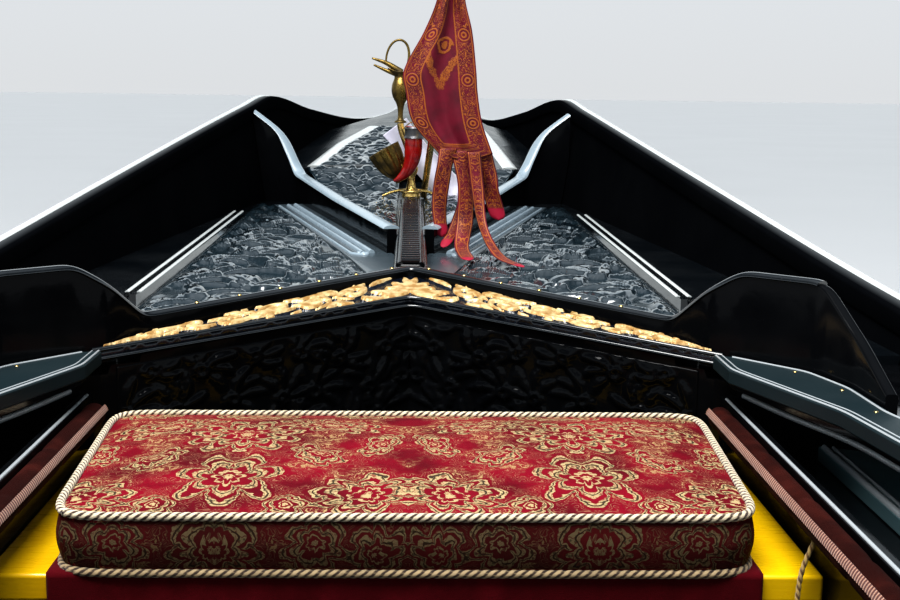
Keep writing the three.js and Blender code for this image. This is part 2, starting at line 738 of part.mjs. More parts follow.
// Rowing gear: the block sits on the deck and over the gunwale, with a socket for the oarlock
function oarlockBlock() {
  const { x, y } = OARLOCK;
  const top = station(y, 'sheerZ') + 58;
  const block = loft([-80, 80].map((step) => {
    const length = y + step;
    const inner = station(length, 'centre') + station(length, 'sheerHalf') - GUNWALE.inward - GAP;
    const rail = station(length, 'sheerZ') + GAP;
    const deck = (across) => aftDeckZ(across, length) + 1;
    return [
      point(x - 140, length, deck(x - 140)), point(inner, length, deck(x - 140)), point(inner, length, rail),
      point(x, length, rail), point(x, length, top), point(x - 140, length, top),
    ];
  }));
  const socket = box(-27.5, 32, -17.5, 17.5, top - 38, top + 10);
  socket.rotateZ(Math.PI / 4);
  socket.translate(x - 70, y, 0);
  return cut(block, socket);
}

// Carved oarlock: a bent post whose notch opens inboard and aft
function oarlock() {
  const notch = OARLOCK.z;
  const shape = new THREE.Shape();
  const foot = station(OARLOCK.y, 'sheerZ') + 20.4;
  shape.moveTo(-26, foot);
  shape.lineTo(26, foot);
  shape.bezierCurveTo(30, foot + 120, 100, foot + 150, 104, notch - 60);
  shape.lineTo(100, notch + 52);
  shape.quadraticCurveTo(76, notch + 92, 24, notch + 76);
  shape.quadraticCurveTo(0, notch + 64, 2, notch + 44);
  shape.quadraticCurveTo(38, notch + 42, 45, notch + 10);
  shape.quadraticCurveTo(45, notch - 27.5, 10, notch - 27.5);
  shape.quadraticCurveTo(-34, notch - 29, -40, notch - 62);
  shape.bezierCurveTo(-30, notch - 110, 20, notch - 120, 10, foot + 190);
  shape.bezierCurveTo(0, foot + 120, -26, foot + 90, -26, foot);
  const settings = { depth: OARLOCK.wide, curveSegments: 6, bevelEnabled: false };
  const geometry = new THREE.ExtrudeGeometry(shape, settings);
  geometry.translate(0, 0, -OARLOCK.wide / 2);
  geometry.rotateX(Math.PI / 2);
  geometry.rotateZ(Math.PI / 4);
  geometry.translate(OARLOCK.x - 70, OARLOCK.y, 0);
  return geometry;
}

// The oar: round shaft, flat tapered blade, drawn along +X and then laid in the notch
function oar() {
  const { length, inboard, shaft, blade } = OAR;
  const half = [
    [-inboard, 15, 15], [-inboard + 160, 17, 17], [-200, shaft, shaft], [200, shaft, shaft],
    [1500, 20, 20], [1900, 42, 14], [2500, 66, 10], [length - inboard, blade / 2, 7],
  ];
  const sides = 12;
  const rings = half.map(([x, wide, high]) => Array.from({ length: sides }, (_, k) => {
    const a = (2 * Math.PI * k) / sides;
    return point(x, wide * Math.cos(a), high * Math.sin(a));
  }));
  const geometry = loft(rings);
  geometry.rotateX(0.9);
  geometry.rotateY(0.262);
  geometry.rotateZ(-1.2);
  geometry.translate(OARLOCK.x - 70, OARLOCK.y, OARLOCK.z);
  return geometry;
}

// Ornaments on the deck, at the fore end of the spine
function ornamentHolder() {
  const { x, y, z } = HOLDER;
  const foot = turned([[0, -11], [20, -11], [20, 5], [14, 12], [9, 40], [15, 60], [8, 80], [0, 80]], 14);
  foot.translate(x, y, z);
  const bent = [[x, y, z + 76], [x - 10, y, z + 110], [x - 26, y, z + 150], [x - 26, y, z + 162]];
  const stem = rod(bent, 8, 8, 6);
  const hook = rod([[x - 22, y, z + 146], [x - 6, y - 24, z + 162], [x + 6, y - 37, z + 170],
    [x + 6, y - 38, CHARM_TOP + GAP]], 2.4, 6, 10);
  const arms = SIDES.map(([, side]) => rod([[x, y, z + 6], [x + side * 40, y + 8, z + 2],
    [x + side * 66, y + 10, z - 9]], 4, 6, 4));
  return join(foot, stem, hook, ...arms);
}

function ewer() {
  const { x, y, z } = HOLDER;
  const low = z + 162 + GAP;
  const profile = [[0, 0], [15, 0], [8, 14], [12, 28], [28, 52], [30, 72], [20, 96], [22, 112], [0, 108]];
  const body = turned(profile, 14);
  const spout = rod([[-12, 0, 92], [-34, 0, 108], [-52, 0, 122]], 7, 6, 3);
  const handle = rod([[14, 0, 104], [18, 0, 140], [2, 0, 158], [-14, 0, 150], [-12, 0, 108]], 3.6, 6, 12);
  const geometry = join(body, spout, handle);
  geometry.translate(x - 26, y, low);
  return geometry;
}

function flutedCup() {
  const { x, y, z } = HOLDER;
  const profile = [[0, 0], [12, 0], [22, 12], [33, 40], [38, 74], [34, 74], [28, 42], [16, 18], [0, 12]];
  const geometry = turned(profile, 20);
  geometry.rotateY(-0.62);
  geometry.translate(x - 23.2, y - 6, z + 28);
  return geometry;
}

function hornCharm() {
  const { x, y } = HOLDER;
  const sides = 12;
  const rings = [
    [0, 0, 19, 0], [-1, -50, 19, 0], [-3, -66, 16, 0.15], [-10, -90, 13, 0.5],
    [-25, -110, 8.5, 0.85], [-44, -124, 3.5, 1.1],
  ];
  const section = ([dx, dz, r, turn]) => Array.from({ length: sides }, (_, k) => {
    const a = (2 * Math.PI * k) / sides;
    const out = r * Math.cos(a);
    return point(dx + out * Math.cos(turn), r * Math.sin(a), dz - out * Math.sin(turn));
  });
  const geometry = loft(rings.map(section));
  geometry.translate(x + 6, y - 38, CHARM_TOP - 0.2);
  return geometry;
}

function flagpole() {
  const back = FLAG.y + FLAG.thick / 2 + 1.9;
  return rod([[30, 2150, 760.1], [60, 1850, 1040], [76, back + 60, 1278], [78, back, 1290]], 8, 10, 8);
}

// Plain soft solids: the folded flag and the pennant behind it
function flag() {
  const outline = [
    [60, 1330], [60, 1262], [48, 1182], [25, 1125], [-17, 1047], [-13, 1020], [-4, 953],
    [34, 886], [59, 870], [61, 727], [80, 724], [92, 706], [126, 706], [130, 724], [150, 740],
    [168, 762], [168, 791], [149, 877], [130, 934], [111, 1125], [96, 1182], [88, 1262], [90, 1330],
  ];
  const geometry = plate(outline, FLAG.thick);
  geometry.translate(0, FLAG.y, 0);
  return geometry;
}

function pennant() {
  const foot = APEX_DECK.aftZ + apexRise(PENNANT.y + PENNANT.thick / 2) + GAP;
  const outline = [[-68, 901], [-13, 943.6], [21, 898], [119, 797], [111, foot], [60, foot]];
  const geometry = plate(outline, PENNANT.thick);
  geometry.translate(0, PENNANT.y, 0);
  return geometry;
}

// Seahorse in profile, head forward
function seahorse(side) {
  const shape = new THREE.Shape();
  shape.moveTo(-30, 0);
  shape.lineTo(30, 0);
  shape.lineTo(26, 16);
  shape.quadraticCurveTo(-6, 24, -14, 60);
  shape.quadraticCurveTo(-16, 100, 22, 118);
  shape.quadraticCurveTo(50, 140, 40, 176);
  shape.lineTo(78, 168);
  shape.lineTo(82, 184);
  shape.quadraticCurveTo(52, 226, 18, 214);
  shape.quadraticCurveTo(-34, 200, -36, 140);
  shape.quadraticCurveTo(-78, 90, -44, 30);
  shape.lineTo(-30, 0);
  const geometry = new THREE.ExtrudeGeometry(shape, { depth: 18, curveSegments: 6, bevelEnabled: false });
  geometry.translate(0, 0, -9);
  geometry.rotateX(Math.PI / 2);
  geometry.rotateZ(Math.PI / 2);
  geometry.translate(side * 576, -560, CAP_TOP + GAP);
  return geometry;
}

// Short tie cord hanging from the starboard roll in front of the bench
function rollTie() {
  return rod([[375.4, 190, 608.4], [364, 189, 570], [362, 188, 500], [361, 188, 440]], 2.5, 8, 16);
}

const INSIDE = toSolid(hullInside());

add('bottom_planking', bottomPlanking(), TARRED);
for (const [name, side] of SIDES) {
  add(`side_planking_${name}`, sidePlanking(side), LACQUER);
  add(`gunwale_${name}`, gunwale(side), LACQUER);
}
add('stem', hullEnd(1), LACQUER);
add('sternpost', hullEnd(-1), LACQUER);
add('bow_iron', bowIron(), STEEL, ironGroup(1));
add('stern_iron', sternIron(), STEEL, ironGroup(-1));
add('frames', frames(), TARRED);
add('floorboards', floorboards(), LACQUER);
add('fore_deck', foreDeck(), LACQUER);
add('apex_deck', apexDeck(), LACQUER);
add('deck_spine', deckSpine(), LACQUER);
add('near_coaming', nearCoaming(), LACQUER);
add('gilded_band', gildedBand(), GILDING);
add('carved_bulkhead', carvedBulkhead(), LACQUER);
for (const [name, side] of SIDES) {
  add(`carved_deck_${name}`, carvedDeck(side), LACQUER);
  add(`far_coaming_${name}`, farCoaming(side), LACQUER);
  add(`side_deck_${name}`, sideDeck(side), LACQUER);
  add(`cockpit_cap_${name}`, cockpitCap(side), LACQUER);
  add(`side_shelf_${name}`, sideShelf(side), LACQUER);
  add(`side_board_${name}`, sideBoard(side), LACQUER);
  add(`padded_roll_${name}`, paddedRoll(side), VELVET);
  add(`seahorse_${name}`, seahorse(side), BRASS);
}
add('bow_bench', bowBench(), YELLOW);
add('bow_cushion', bowCushion(), DAMASK);
add('bench_drape', benchDrape(), DRAPERY);
add('main_seat', mainSeat(), LACQUER);
add('seat_cushion', seatCushion(), DAMASK);
add('seat_back', seatBack(), LACQUER);
add('back_cushion', backCushion(), DAMASK);
add('stern_bulkhead', sternBulkhead(), LACQUER);
add('aft_deck', aftDeck(), LACQUER);
add('stern_hatch', sternHatch(), LACQUER);
add('footboard', footboard(), WOOD);
add('oarlock_block', oarlockBlock(), LACQUER);
add('oarlock', oarlock(), WOOD);
add('oar', oar(), WOOD);
add('ornament_holder', ornamentHolder(), BRASS);
add('ewer', ewer(), BRASS);
add('fluted_cup', flutedCup(), BRASS);
add('horn_charm', hornCharm(), HORN_RED);
add('flagpole', flagpole(), BRASS);
add('flag', flag(), CRIMSON);
add('pennant', pennant(), WHITE_CLOTH);
add('roll_tie', rollTie(), GILDING);

export default gondola;
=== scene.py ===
"""Looks of a full-size gondola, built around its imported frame.

Lengths are metres in the frame's own axes: +Y to the bow, +X to starboard, +Z up.
"""
import logging
import math
from abc import ABC, abstractmethod
from dataclasses import dataclass, field
from enum import Enum
from typing import Any, Callable, Sequence

import bmesh
import bpy
import numpy as np
from mathutils import Matrix


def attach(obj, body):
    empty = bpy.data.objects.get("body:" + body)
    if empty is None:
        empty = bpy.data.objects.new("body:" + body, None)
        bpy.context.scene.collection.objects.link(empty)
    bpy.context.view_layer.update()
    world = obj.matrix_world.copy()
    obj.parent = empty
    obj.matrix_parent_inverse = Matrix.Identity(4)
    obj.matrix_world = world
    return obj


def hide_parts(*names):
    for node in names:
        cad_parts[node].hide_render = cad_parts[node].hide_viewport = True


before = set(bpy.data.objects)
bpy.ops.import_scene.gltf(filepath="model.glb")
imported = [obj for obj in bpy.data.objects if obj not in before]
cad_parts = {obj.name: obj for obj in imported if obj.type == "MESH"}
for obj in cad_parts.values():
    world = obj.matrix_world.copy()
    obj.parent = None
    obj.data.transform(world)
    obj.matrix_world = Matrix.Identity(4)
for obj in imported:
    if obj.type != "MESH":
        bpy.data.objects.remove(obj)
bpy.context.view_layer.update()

Array = np.ndarray
LOG = logging.getLogger("gondola")
MM = 0.001
TURN = 2 * math.pi
WATERLINE = 0.17
SIDES = {"starboard": 1, "port": -1}


# Numbers and curves


def mm(rows: Sequence[Sequence[float]]) -> Array:
    """Rows of millimetres as an array in metres."""
    return np.array(rows, float) * MM


def lengths_along(points: Array) -> Array:
    """Distance from the first point to each point, measured along the line through them."""
    steps = np.linalg.norm(np.diff(points, axis=0), axis=1)
    return np.concatenate([[0.0], np.cumsum(steps)])


def resampled(points: Array, count: int) -> Array:
    """The same line with evenly spaced points.

    Args:
        points: Corner points, one a row.
        count: How many points the new line has.

    Returns:
        Points at equal steps of the line's own length.
    """
    along = lengths_along(points)
    wanted = np.linspace(0, along[-1], count)
    return np.stack([np.interp(wanted, along, column) for column in points.T], -1)


def eased(points: Array, step: float, reach: float) -> Array:
    """An open line with rounded corners.

    Each new point is the mean of the line over a window of the given reach, taken twice. Both
    ends stay, because the line is continued straight past them first.

    Args:
        points: Corner points, one a row.
        step: Distance between the new points.
        reach: Length of the window.

    Returns:
        The rounded line.
    """
    total = lengths_along(points)[-1]
    line = resampled(points, max(int(total / step), 8))
    half = max(int(reach / step / 2), 1)
    kernel = np.ones(2 * half + 1) / (2 * half + 1)
    for _ in range(2):
        head = 2 * line[0] - line[half:0:-1]
        tail = 2 * line[-1] - line[-2:-half - 2:-1]
        longer = np.vstack([head, line, tail])
        line = np.stack([np.convolve(column, kernel, "valid") for column in longer.T], -1)
    return line


def eased_loop(points: Array, step: float, reach: float) -> Array:
    """A closed line with rounded corners, by the mean over a window that runs round the loop.

    Args:
        points: Corner points, one a row, without the first repeated.
        step: Distance between the new points.
        reach: Length of the window.

    Returns:
        The rounded loop, without its first point repeated.
    """
    ring = np.vstack([points, points[:1]])
    total = lengths_along(ring)[-1]
    line = resampled(ring, int(total / step) + 1)[:-1]
    half = max(int(reach / step / 2), 1)
    for _ in range(2):
        line = sum(np.roll(line, k, axis=0) for k in range(-half, half + 1)) / (2 * half + 1)
    return line


def unit(vectors: Array) -> Array:
    """Vectors scaled to length one, a vector a row."""
    return vectors / np.maximum(np.linalg.norm(vectors, axis=-1, keepdims=True), 1e-12)


def spline(knots: Sequence[Sequence[float]], at: Array) -> Array:
    """Smooth values through knots.

    A cubic between neighbouring knots whose slope at a knot is the slope between the knots beside
    it, the first column being the place and the others the values.

    Args:
        knots: Rows of place and values, in rising order of place.
        at: Places to read.

    Returns:
        One row of values for each place.
    """
    table = np.array(knots, float)
    place, values = table[:, 0], table[:, 1:]
    i = np.clip(np.searchsorted(place, at, side="left"), 1, len(place) - 1)
    before, after = np.maximum(i - 2, 0), np.minimum(i + 1, len(place) - 1)
    span = (place[i] - place[i - 1])[:, None]
    t = (at - place[i - 1])[:, None] / span
    slope_a = (values[i] - values[before]) / (place[i] - place[before])[:, None]
    slope_b = (values[after] - values[i - 1]) / (place[after] - place[i - 1])[:, None]
    h = 1 - t
    ends = values[i - 1] * h * h * (1 + 2 * t) + values[i] * t * t * (3 - 2 * t)
    return ends + h * t * span * (h * slope_a - t * slope_b)


def smooth(rows: Sequence[Sequence[float]], count: int) -> Array:
    """A smooth line through knots that stand at equal steps.

    Args:
        rows: One knot a row, in millimetres.
        count: How many points the line has.

    Returns:
        The line's points, in metres.
    """
    knots = np.column_stack([np.arange(len(rows)), np.array(rows, float)])
    return spline(knots, np.linspace(0, len(rows) - 1, count)) * MM


# Surfaces


@dataclass
class Shape:
    """A surface in the making: points, faces, and what is known at each point."""

    points: Array
    faces: list[Any]
    uv: Array | None = None
    marks: dict[str, Array] = field(default_factory=dict)

    def __add__(self, other: "Shape") -> "Shape":
        """Both shapes as one, the other's faces renumbered.

        Args:
            other: The shape to join on.

        Returns:
            The joined shape, with the marks that both have.
        """
        shift = len(self.points)
        faces = self.faces + [[n + shift for n in face] for face in other.faces]
        uv = None if self.uv is None or other.uv is None else np.vstack([self.uv, other.uv])
        marks = {
            key: np.concatenate([self.marks[key], other.marks[key]])
            for key in self.marks if key in other.marks
        }
        return Shape(np.vstack([self.points, other.points]), faces, uv, marks)

    def moved(self, matrix: Matrix) -> "Shape":
        """The shape after a 4 by 4 matrix."""
        m = np.array(matrix, float)
        return Shape(self.points @ m[:3, :3].T + m[:3, 3], self.faces, self.uv, self.marks)


def joined(shapes: Sequence[Shape]) -> Shape:
    """Several shapes as one, in their order."""
    return sum(shapes[1:], shapes[0])


def grid_faces(rows: int, columns: int, ring: bool = False) -> list[list[int]]:
    """Four-sided faces between the points of a grid, point (i, j) being number i * columns + j.

    Args:
        rows: Points along the first direction.
        columns: Points along the second direction.
        ring: Whether the last column meets the first.

    Returns:
        Lists of four point numbers.
    """
    i, j = np.meshgrid(np.arange(rows - 1), np.arange(columns if ring else columns - 1), indexing="ij")
    k = (j + 1) % columns
    quads = np.stack([i * columns + j, (i + 1) * columns + j, (i + 1) * columns + k, i * columns + k], -1)
    return quads.reshape(-1, 4).tolist()


def surface(grid: Array) -> Shape:
    """The open surface over a grid of points of shape (rows, columns, 3)."""
    return Shape(grid.reshape(-1, 3), grid_faces(*grid.shape[:2]))


def lofted(rings: Array, caps: bool = True) -> Shape:
    """A skin through closed rings of equally many points, with flat ends.

    Args:
        rings: Points of shape (rings, points in a ring, 3).
        caps: Whether the two ends are closed.

    Returns:
        The skin, with UV as distance along and distance round, in metres.
    """
    rows, columns, _ = rings.shape
    faces = grid_faces(rows, columns, ring=True)
    if caps:
        faces += [list(range(columns)), [(rows - 1) * columns + k for k in reversed(range(columns))]]
    centre = rings.mean(axis=1)
    along = np.repeat(lengths_along(centre)[:, None], columns, 1)
    steps = np.linalg.norm(np.diff(rings, axis=1), axis=2)
    around = np.concatenate([np.zeros((rows, 1)), np.cumsum(steps, axis=1)], axis=1)
    return Shape(rings.reshape(-1, 3), faces, np.stack([along, around], -1).reshape(-1, 2))


def carried(path: Array, section: Array, up: Sequence[float] = (0, 0, 1), caps: bool = True) -> Shape:
    """A closed section carried along a path.

    Each point is the path's point, plus side times the section's first number, plus lift times its
    second. Side is the direction of travel cross up, and lift is side cross travel.

    Args:
        path: Points of the path, one a row.
        section: Corners as (corners, 2), or (path points, corners, 2) where the section changes.
        up: Direction that the section's second number leans to.
        caps: Whether the two ends are closed.

    Returns:
        The skin.
    """
    travel = unit(np.gradient(path, axis=0))
    side = unit(np.cross(travel, np.array(up, float)))
    lift = np.cross(side, travel)
    cut = np.broadcast_to(section, (len(path), *np.shape(section)[-2:]))
    rings = path[:, None] + side[:, None] * cut[..., :1] + lift[:, None] * cut[..., 1:]
    return lofted(rings, caps)


def circle(count: int) -> Array:
    """Points on a circle of radius one: the cosine and the sine of equal angles."""
    a = np.arange(count) * TURN / count
    return np.stack([np.cos(a), np.sin(a)], -1)


def tube(path: Array, radius: float | Array, sides: int, up: Sequence[float] = (0, 0, 1)) -> Shape:
    """A round bar along a path: a circle of the given radius, or of one radius for each path point."""
    radii = np.broadcast_to(radius, (len(path),))
    return carried(path, circle(sides)[None] * radii[:, None, None], up)


def bead_section(wide: float, high: float, sides: int = 7) -> Array:
    """Half-round moulding: an upper half circle, stretched to the width and height, on a flat base."""
    a = np.linspace(0, math.pi, sides)
    return np.stack([wide / 2 * np.cos(a), high * np.sin(a)], -1)


def rounded_section(wide: float, high: float, radius: float) -> Array:
    """A rectangle standing on its base line, with four rounded corners.

    Args:
        wide: Width, centred on zero.
        high: Height above zero.
        radius: Radius of the corners, each of four points.

    Returns:
        Corners, anticlockwise.
    """
    a = np.linspace(0, math.pi / 2, 4)
    arc = np.stack([np.cos(a), np.sin(a)], -1) * radius
    quarter = np.array([[0, 1], [-1, 0]], float)
    right, upper = wide / 2 - radius, high - radius
    corners = []
    for centre in ((right, upper), (-right, upper), (-right, radius), (right, radius)):
        corners.append(arc + centre)
        arc = arc @ quarter
    return np.vstack(corners)


def revolved(radius: Array, z: Array, a: Array) -> Shape:
    """A closed skin about the Z axis.

    Args:
        radius: Distances from the axis, as (rings, angles).
        z: Heights, as (rings, angles) or (rings, 1).
        a: The angles.

    Returns:
        The body, each point at (radius cos a, radius sin a, z).
    """
    return lofted(np.stack(np.broadcast_arrays(radius * np.cos(a), radius * np.sin(a), z), -1))


def turned(profile: Array, sides: int, flute: float = 0.0, flutes: int = 0) -> Shape:
    """A turned body about the Z axis, its radius scaled by 1 + flute * cos(flutes * angle).

    Args:
        profile: Rows of radius and height, from the bottom pole to the top pole.
        sides: Steps round the body.
        flute: Depth of the fluting as a share of the radius.
        flutes: How many flutes go round.

    Returns:
        The closed body.
    """
    a = np.arange(sides) * TURN / sides
    return revolved(profile[:, :1] * (1 + flute * np.cos(flutes * a)), profile[:, 1:], a)


def twisted(path: Array, radius: float, pitch: float, strands: int = 3, closed: bool = False,
            count: int = 12) -> Shape:
    """A laid rope along a path.

    The radius is the full radius on a strand's back and 0.72 of it in the grooves, by the power 0.7
    of the size of the sine of half the strands' angle, and the strands turn once in each pitch. The
    mark groove is 0 in a groove and 1 on a back.

    Args:
        path: Points of the path, at least eight for each pitch.
        radius: Outer radius.
        pitch: Length of one full turn.
        strands: How many strands lie round the rope.
        closed: Whether the last point meets the first.
        count: Points round the rope.

    Returns:
        The rope's skin.
    """
    along = lengths_along(path)
    a = np.arange(count) * TURN / count
    phase = 0.5 * strands * (a[None, :] - TURN * along[:, None] / pitch)
    back = np.abs(np.sin(phase)) ** 0.7
    size = radius * (0.72 + 0.28 * back)
    section = np.stack([np.cos(a) * size, np.sin(a) * size], -1)
    shape = carried(path, section, caps=not closed)
    shape.marks["groove"] = back.ravel()
    return shape


def studs(centres: Array, radius: float, high: float) -> Shape:
    """Small domed rivets: half balls flattened to the given height, one on each centre.

    Args:
        centres: One centre a row.
        radius: Radius of each rivet.
        high: Height of its dome.

    Returns:
        All the rivets.
    """
    rows, sides = 4, 8
    t = np.linspace(0, math.pi / 2, rows)
    a = np.arange(sides) * TURN / sides
    ball = np.stack([
        radius * np.cos(t)[:, None] * np.cos(a), radius * np.cos(t)[:, None] * np.sin(a),
        np.repeat(high * np.sin(t)[:, None], sides, 1)], -1).reshape(-1, 3)
    faces = grid_faces(rows, sides, ring=True) + [list(range(sides))]
    shift = len(ball)
    every = [[n + k * shift for n in face] for k in range(len(centres)) for face in faces]
    return Shape((centres[:, None] + ball).reshape(-1, 3), every)


def panel(top: Array, drop: Sequence[float]) -> Shape:
    """A plate whose upper side is a grid of points and whose underside spans its rim, row by row.

    Args:
        top: Points of shape (rows, columns, 3).
        drop: Vector from the upper side's rim to the underside's rim.

    Returns:
        The closed plate, with UV as the share along each direction.
    """
    rows, columns, _ = top.shape
    faces = grid_faces(rows, columns)
    grid = np.arange(rows * columns).reshape(rows, columns)
    rim = np.concatenate([grid[0, :-1], grid[:-1, -1], grid[-1, :0:-1], grid[:0:-1, 0]])
    low = top.reshape(-1, 3)[rim] + np.array(drop, float)
    base = rows * columns
    under = base + np.arange(len(rim))
    faces += np.stack([rim, np.roll(rim, -1), np.roll(under, -1), under], -1).tolist()
    below = np.zeros(base, int)
    below[rim] = under
    first, last = below[grid[:, 0]], below[grid[:, -1]]
    faces += np.stack([first[1:-2], last[1:-2], last[2:-1], first[2:-1]], -1).tolist()
    faces.append([*below[grid[0, ::-1]].tolist(), int(first[1]), int(last[1])])
    faces.append([*below[grid[-1]].tolist(), int(last[-2]), int(first[-2])])
    u, v = np.meshgrid(np.linspace(0, 1, rows), np.linspace(0, 1, columns), indexing="ij")
    uv = np.stack([u, v], -1).reshape(-1, 2)
    return Shape(np.vstack([top.reshape(-1, 3), low]), faces, np.vstack([uv, uv[rim]]))


# Shader expressions


class Value:
    """A socket with arithmetic: each operator adds a Math node and gives its result."""

    def __init__(self, dress: "Dress", socket: Any) -> None:
        """Wraps one socket of the material that is being made."""
        self.dress = dress
        self.socket = socket

    def _math(self, operation: str, *values: Any) -> "Value":
        """A Math node of that operation on these values."""
        return self.dress.node("ShaderNodeMath", {"operation": operation}, dict(enumerate(values)))

    def __add__(self, other: Any) -> "Value":
        """Sum."""
        return self._math("ADD", self, other)

    def __sub__(self, other: Any) -> "Value":
        """Difference."""
        return self._math("SUBTRACT", self, other)

    def __rsub__(self, other: Any) -> "Value":
        """Difference from a number."""
        return self._math("SUBTRACT", other, self)

    def __mul__(self, other: Any) -> "Value":
        """Product."""
        return self._math("MULTIPLY", self, other)

    def __truediv__(self, other: Any) -> "Value":
        """Quotient."""
        return self._math("DIVIDE", self, other)

    def __pow__(self, other: Any) -> "Value":
        """Power."""
        return self._math("POWER", self, other)

    __radd__ = __add__
    __rmul__ = __mul__

    def most(self, other: Any) -> "Value":
        """The larger of the two."""
        return self._math("MAXIMUM", self, other)

    def least(self, other: Any) -> "Value":
        """The smaller of the two."""
        return self._math("MINIMUM", self, other)

    def size(self) -> "Value":
        """The value without its sign."""
        return self._math("ABSOLUTE", self)

    def sine(self) -> "Value":
        """Sine of the value."""
        return self._math("SINE", self)

    def angle(self, other: "Value") -> "Value":
        """Angle of the place (other, this), seen from its origin."""
        return self._math("ARCTAN2", self, other)

    def folded(self, span: float) -> "Value":
        """The value running up to the span and back again."""
        return self._math("PINGPONG", self, span)

    def step(self, low: float, high: float) -> "Value":
        """0 up to low, 1 from high, and a smooth rise between, or a fall where high is the smaller.

        Args:
            low: Where the rise starts.
            high: Where it ends.

        Returns:
            A value from 0 to 1.
        """
        return self.dress.node(
            "ShaderNodeMapRange", {"interpolation_type": "SMOOTHSTEP"},
            {"Value": self, "From Min": low, "From Max": high, "To Min": 0.0, "To Max": 1.0})


class Dress:
    """A material in the making, with a Principled shader at its end, or a world's background."""

    def __init__(self, name: str, world: bool = False) -> None:
        """Starts an empty material or world of that name.

        Args:
            name: Name of the material or world.
            world: Whether it is a world.
        """
        self.material = (bpy.data.worlds if world else bpy.data.materials).new(name)
        self.material.use_nodes = True
        self.tree = self.material.node_tree
        self.tree.nodes.clear()
        self.shader = self.tree.nodes.new("ShaderNodeBackground" if world else "ShaderNodeBsdfPrincipled")
        output = self.tree.nodes.new("ShaderNodeOutputWorld" if world else "ShaderNodeOutputMaterial")
        self.tree.links.new(self.shader.outputs[0], output.inputs["Surface"])

    def _feed(self, socket: Any, value: Any) -> None:
        """Links a Value to a socket, or writes a plain value into it.

        Args:
            socket: The socket.
            value: A Value, a number, a colour or a vector.
        """
        if isinstance(value, Value):
            self.tree.links.new(value.socket, socket)
        elif isinstance(value, (tuple, list)) and len(value) == 3 and socket.type == "RGBA":
            socket.default_value = (*value, 1.0)
        else:
            socket.default_value = value

    def node(self, kind: str, settings: dict[str, Any] | None = None,
             values: dict[Any, Any] | None = None, out: int | str = 0) -> Value:
        """Adds a node.

        Args:
            kind: The node's type.
            settings: Its own settings, set first. Stops are rows of place and colour.
            values: Values or links for its sockets, by name or number.
            out: Which of its results is wanted.

        Returns:
            The wanted result.
        """
        made = self.tree.nodes.new(kind)
        for key, value in (settings or {}).items():
            if key == "interpolation":
                made.color_ramp.interpolation = value
            elif key == "stops":
                ramp = made.color_ramp
                while len(ramp.elements) < len(value):
                    ramp.elements.new(0.5)
                for element, (place, colour) in zip(ramp.elements, value):
                    element.position = place
                    element.color = (*colour, 1.0)
            else:
                setattr(made, key, value)
        for key, value in (values or {}).items():
            self._feed(made.inputs[key], value)
        return Value(self, made.outputs[out])

    def spot(self) -> Value:
        """Place on the piece, in metres of the frame."""
        return self.node("ShaderNodeTexCoord", out="Object")

    def chart(self) -> Value:
        """The piece's own UV map."""
        return self.node("ShaderNodeUVMap")

    def parts(self, vector: Value) -> tuple[Value, Value, Value]:
        """The three numbers of a vector.

        Args:
            vector: The vector.

        Returns:
            Its first, second and third number.
        """
        split = self.tree.nodes.new("ShaderNodeSeparateXYZ")
        self.tree.links.new(vector.socket, split.inputs[0])
        x, y, z = (Value(self, output) for output in split.outputs)
        return x, y, z

    def vector(self, x: Any, y: Any, z: Any = 0.0) -> Value:
        """A vector of three numbers."""
        return self.node("ShaderNodeCombineXYZ", None, {0: x, 1: y, 2: z})

    def mark(self, name: str) -> Value:
        """A number that the mesh carries at each point."""
        return self.node("ShaderNodeAttribute", {"attribute_name": name}, out="Fac")

    def noise(self, where: Value, scale: float, detail: float = 2.0, roughness: float = 0.5,
              distortion: float = 0.0) -> Value:
        """Soft random values about 0.5, with the given number of features in a metre.

        Args:
            where: Place to read it at.
            scale: Features in a metre.
            detail: Finer layers added.
            roughness: Strength of each finer layer.
            distortion: How far the place is bent.

        Returns:
            A value from 0 to 1.
        """
        return self.node("ShaderNodeTexNoise", None, {
            "Vector": where, "Scale": scale, "Detail": detail, "Roughness": roughness,
            "Distortion": distortion})

    def cells(self, where: Value, scale: float) -> Value:
        """Distance to the nearest of many scattered points, in cell sizes."""
        return self.node("ShaderNodeTexVoronoi", None, {"Vector": where, "Scale": scale}, "Distance")

    def mix(self, share: Any, first: Any, second: Any) -> Value:
        """The first colour where the share is 0, and the second where it is 1."""
        return self.node("ShaderNodeMix", {"data_type": "RGBA"}, {0: share, 6: first, 7: second}, out=2)

    def stretched(self, where: Value, scale: Sequence[float]) -> Value:
        """A place with each of its numbers scaled."""
        return self.node("ShaderNodeVectorMath", {"operation": "MULTIPLY"}, {0: where, 1: tuple(scale)})

    def bump(self, height: Value, distance: float) -> Value:
        """A normal tilted by a height, whose full range stands for the distance in metres."""
        return self.node("ShaderNodeBump", None, {"Height": height, "Distance": distance, "Strength": 1.0})

    def settle(self, **sockets: Any) -> bpy.types.Material:
        """Feeds the shader, a name with underscores standing for the socket's own name.

        Args:
            sockets: What each socket gets, such as Base_Color or Coat_Weight.

        Returns:
            The finished material.
        """
        for name, value in sockets.items():
            self._feed(self.shader.inputs[name.replace("_", " ")], value)
        return self.material


Colour = tuple[float, float, float]
MADE: dict[str, bpy.types.Material] = {}


@dataclass(frozen=True)
class Finish(ABC):
    """A finish of the boat: the record's slot that it belongs to, and how its material is made."""

    name: str
    slot: str

    def material(self) -> bpy.types.Material:
        """The material, made once and kept by name.

        Returns:
            The material.
        """
        if self.name not in MADE:
            MADE[self.name] = self.dressed(Dress(self.name))
        return MADE[self.name]

    @abstractmethod
    def dressed(self, dress: Dress) -> bpy.types.Material:
        """Builds the material's nodes."""


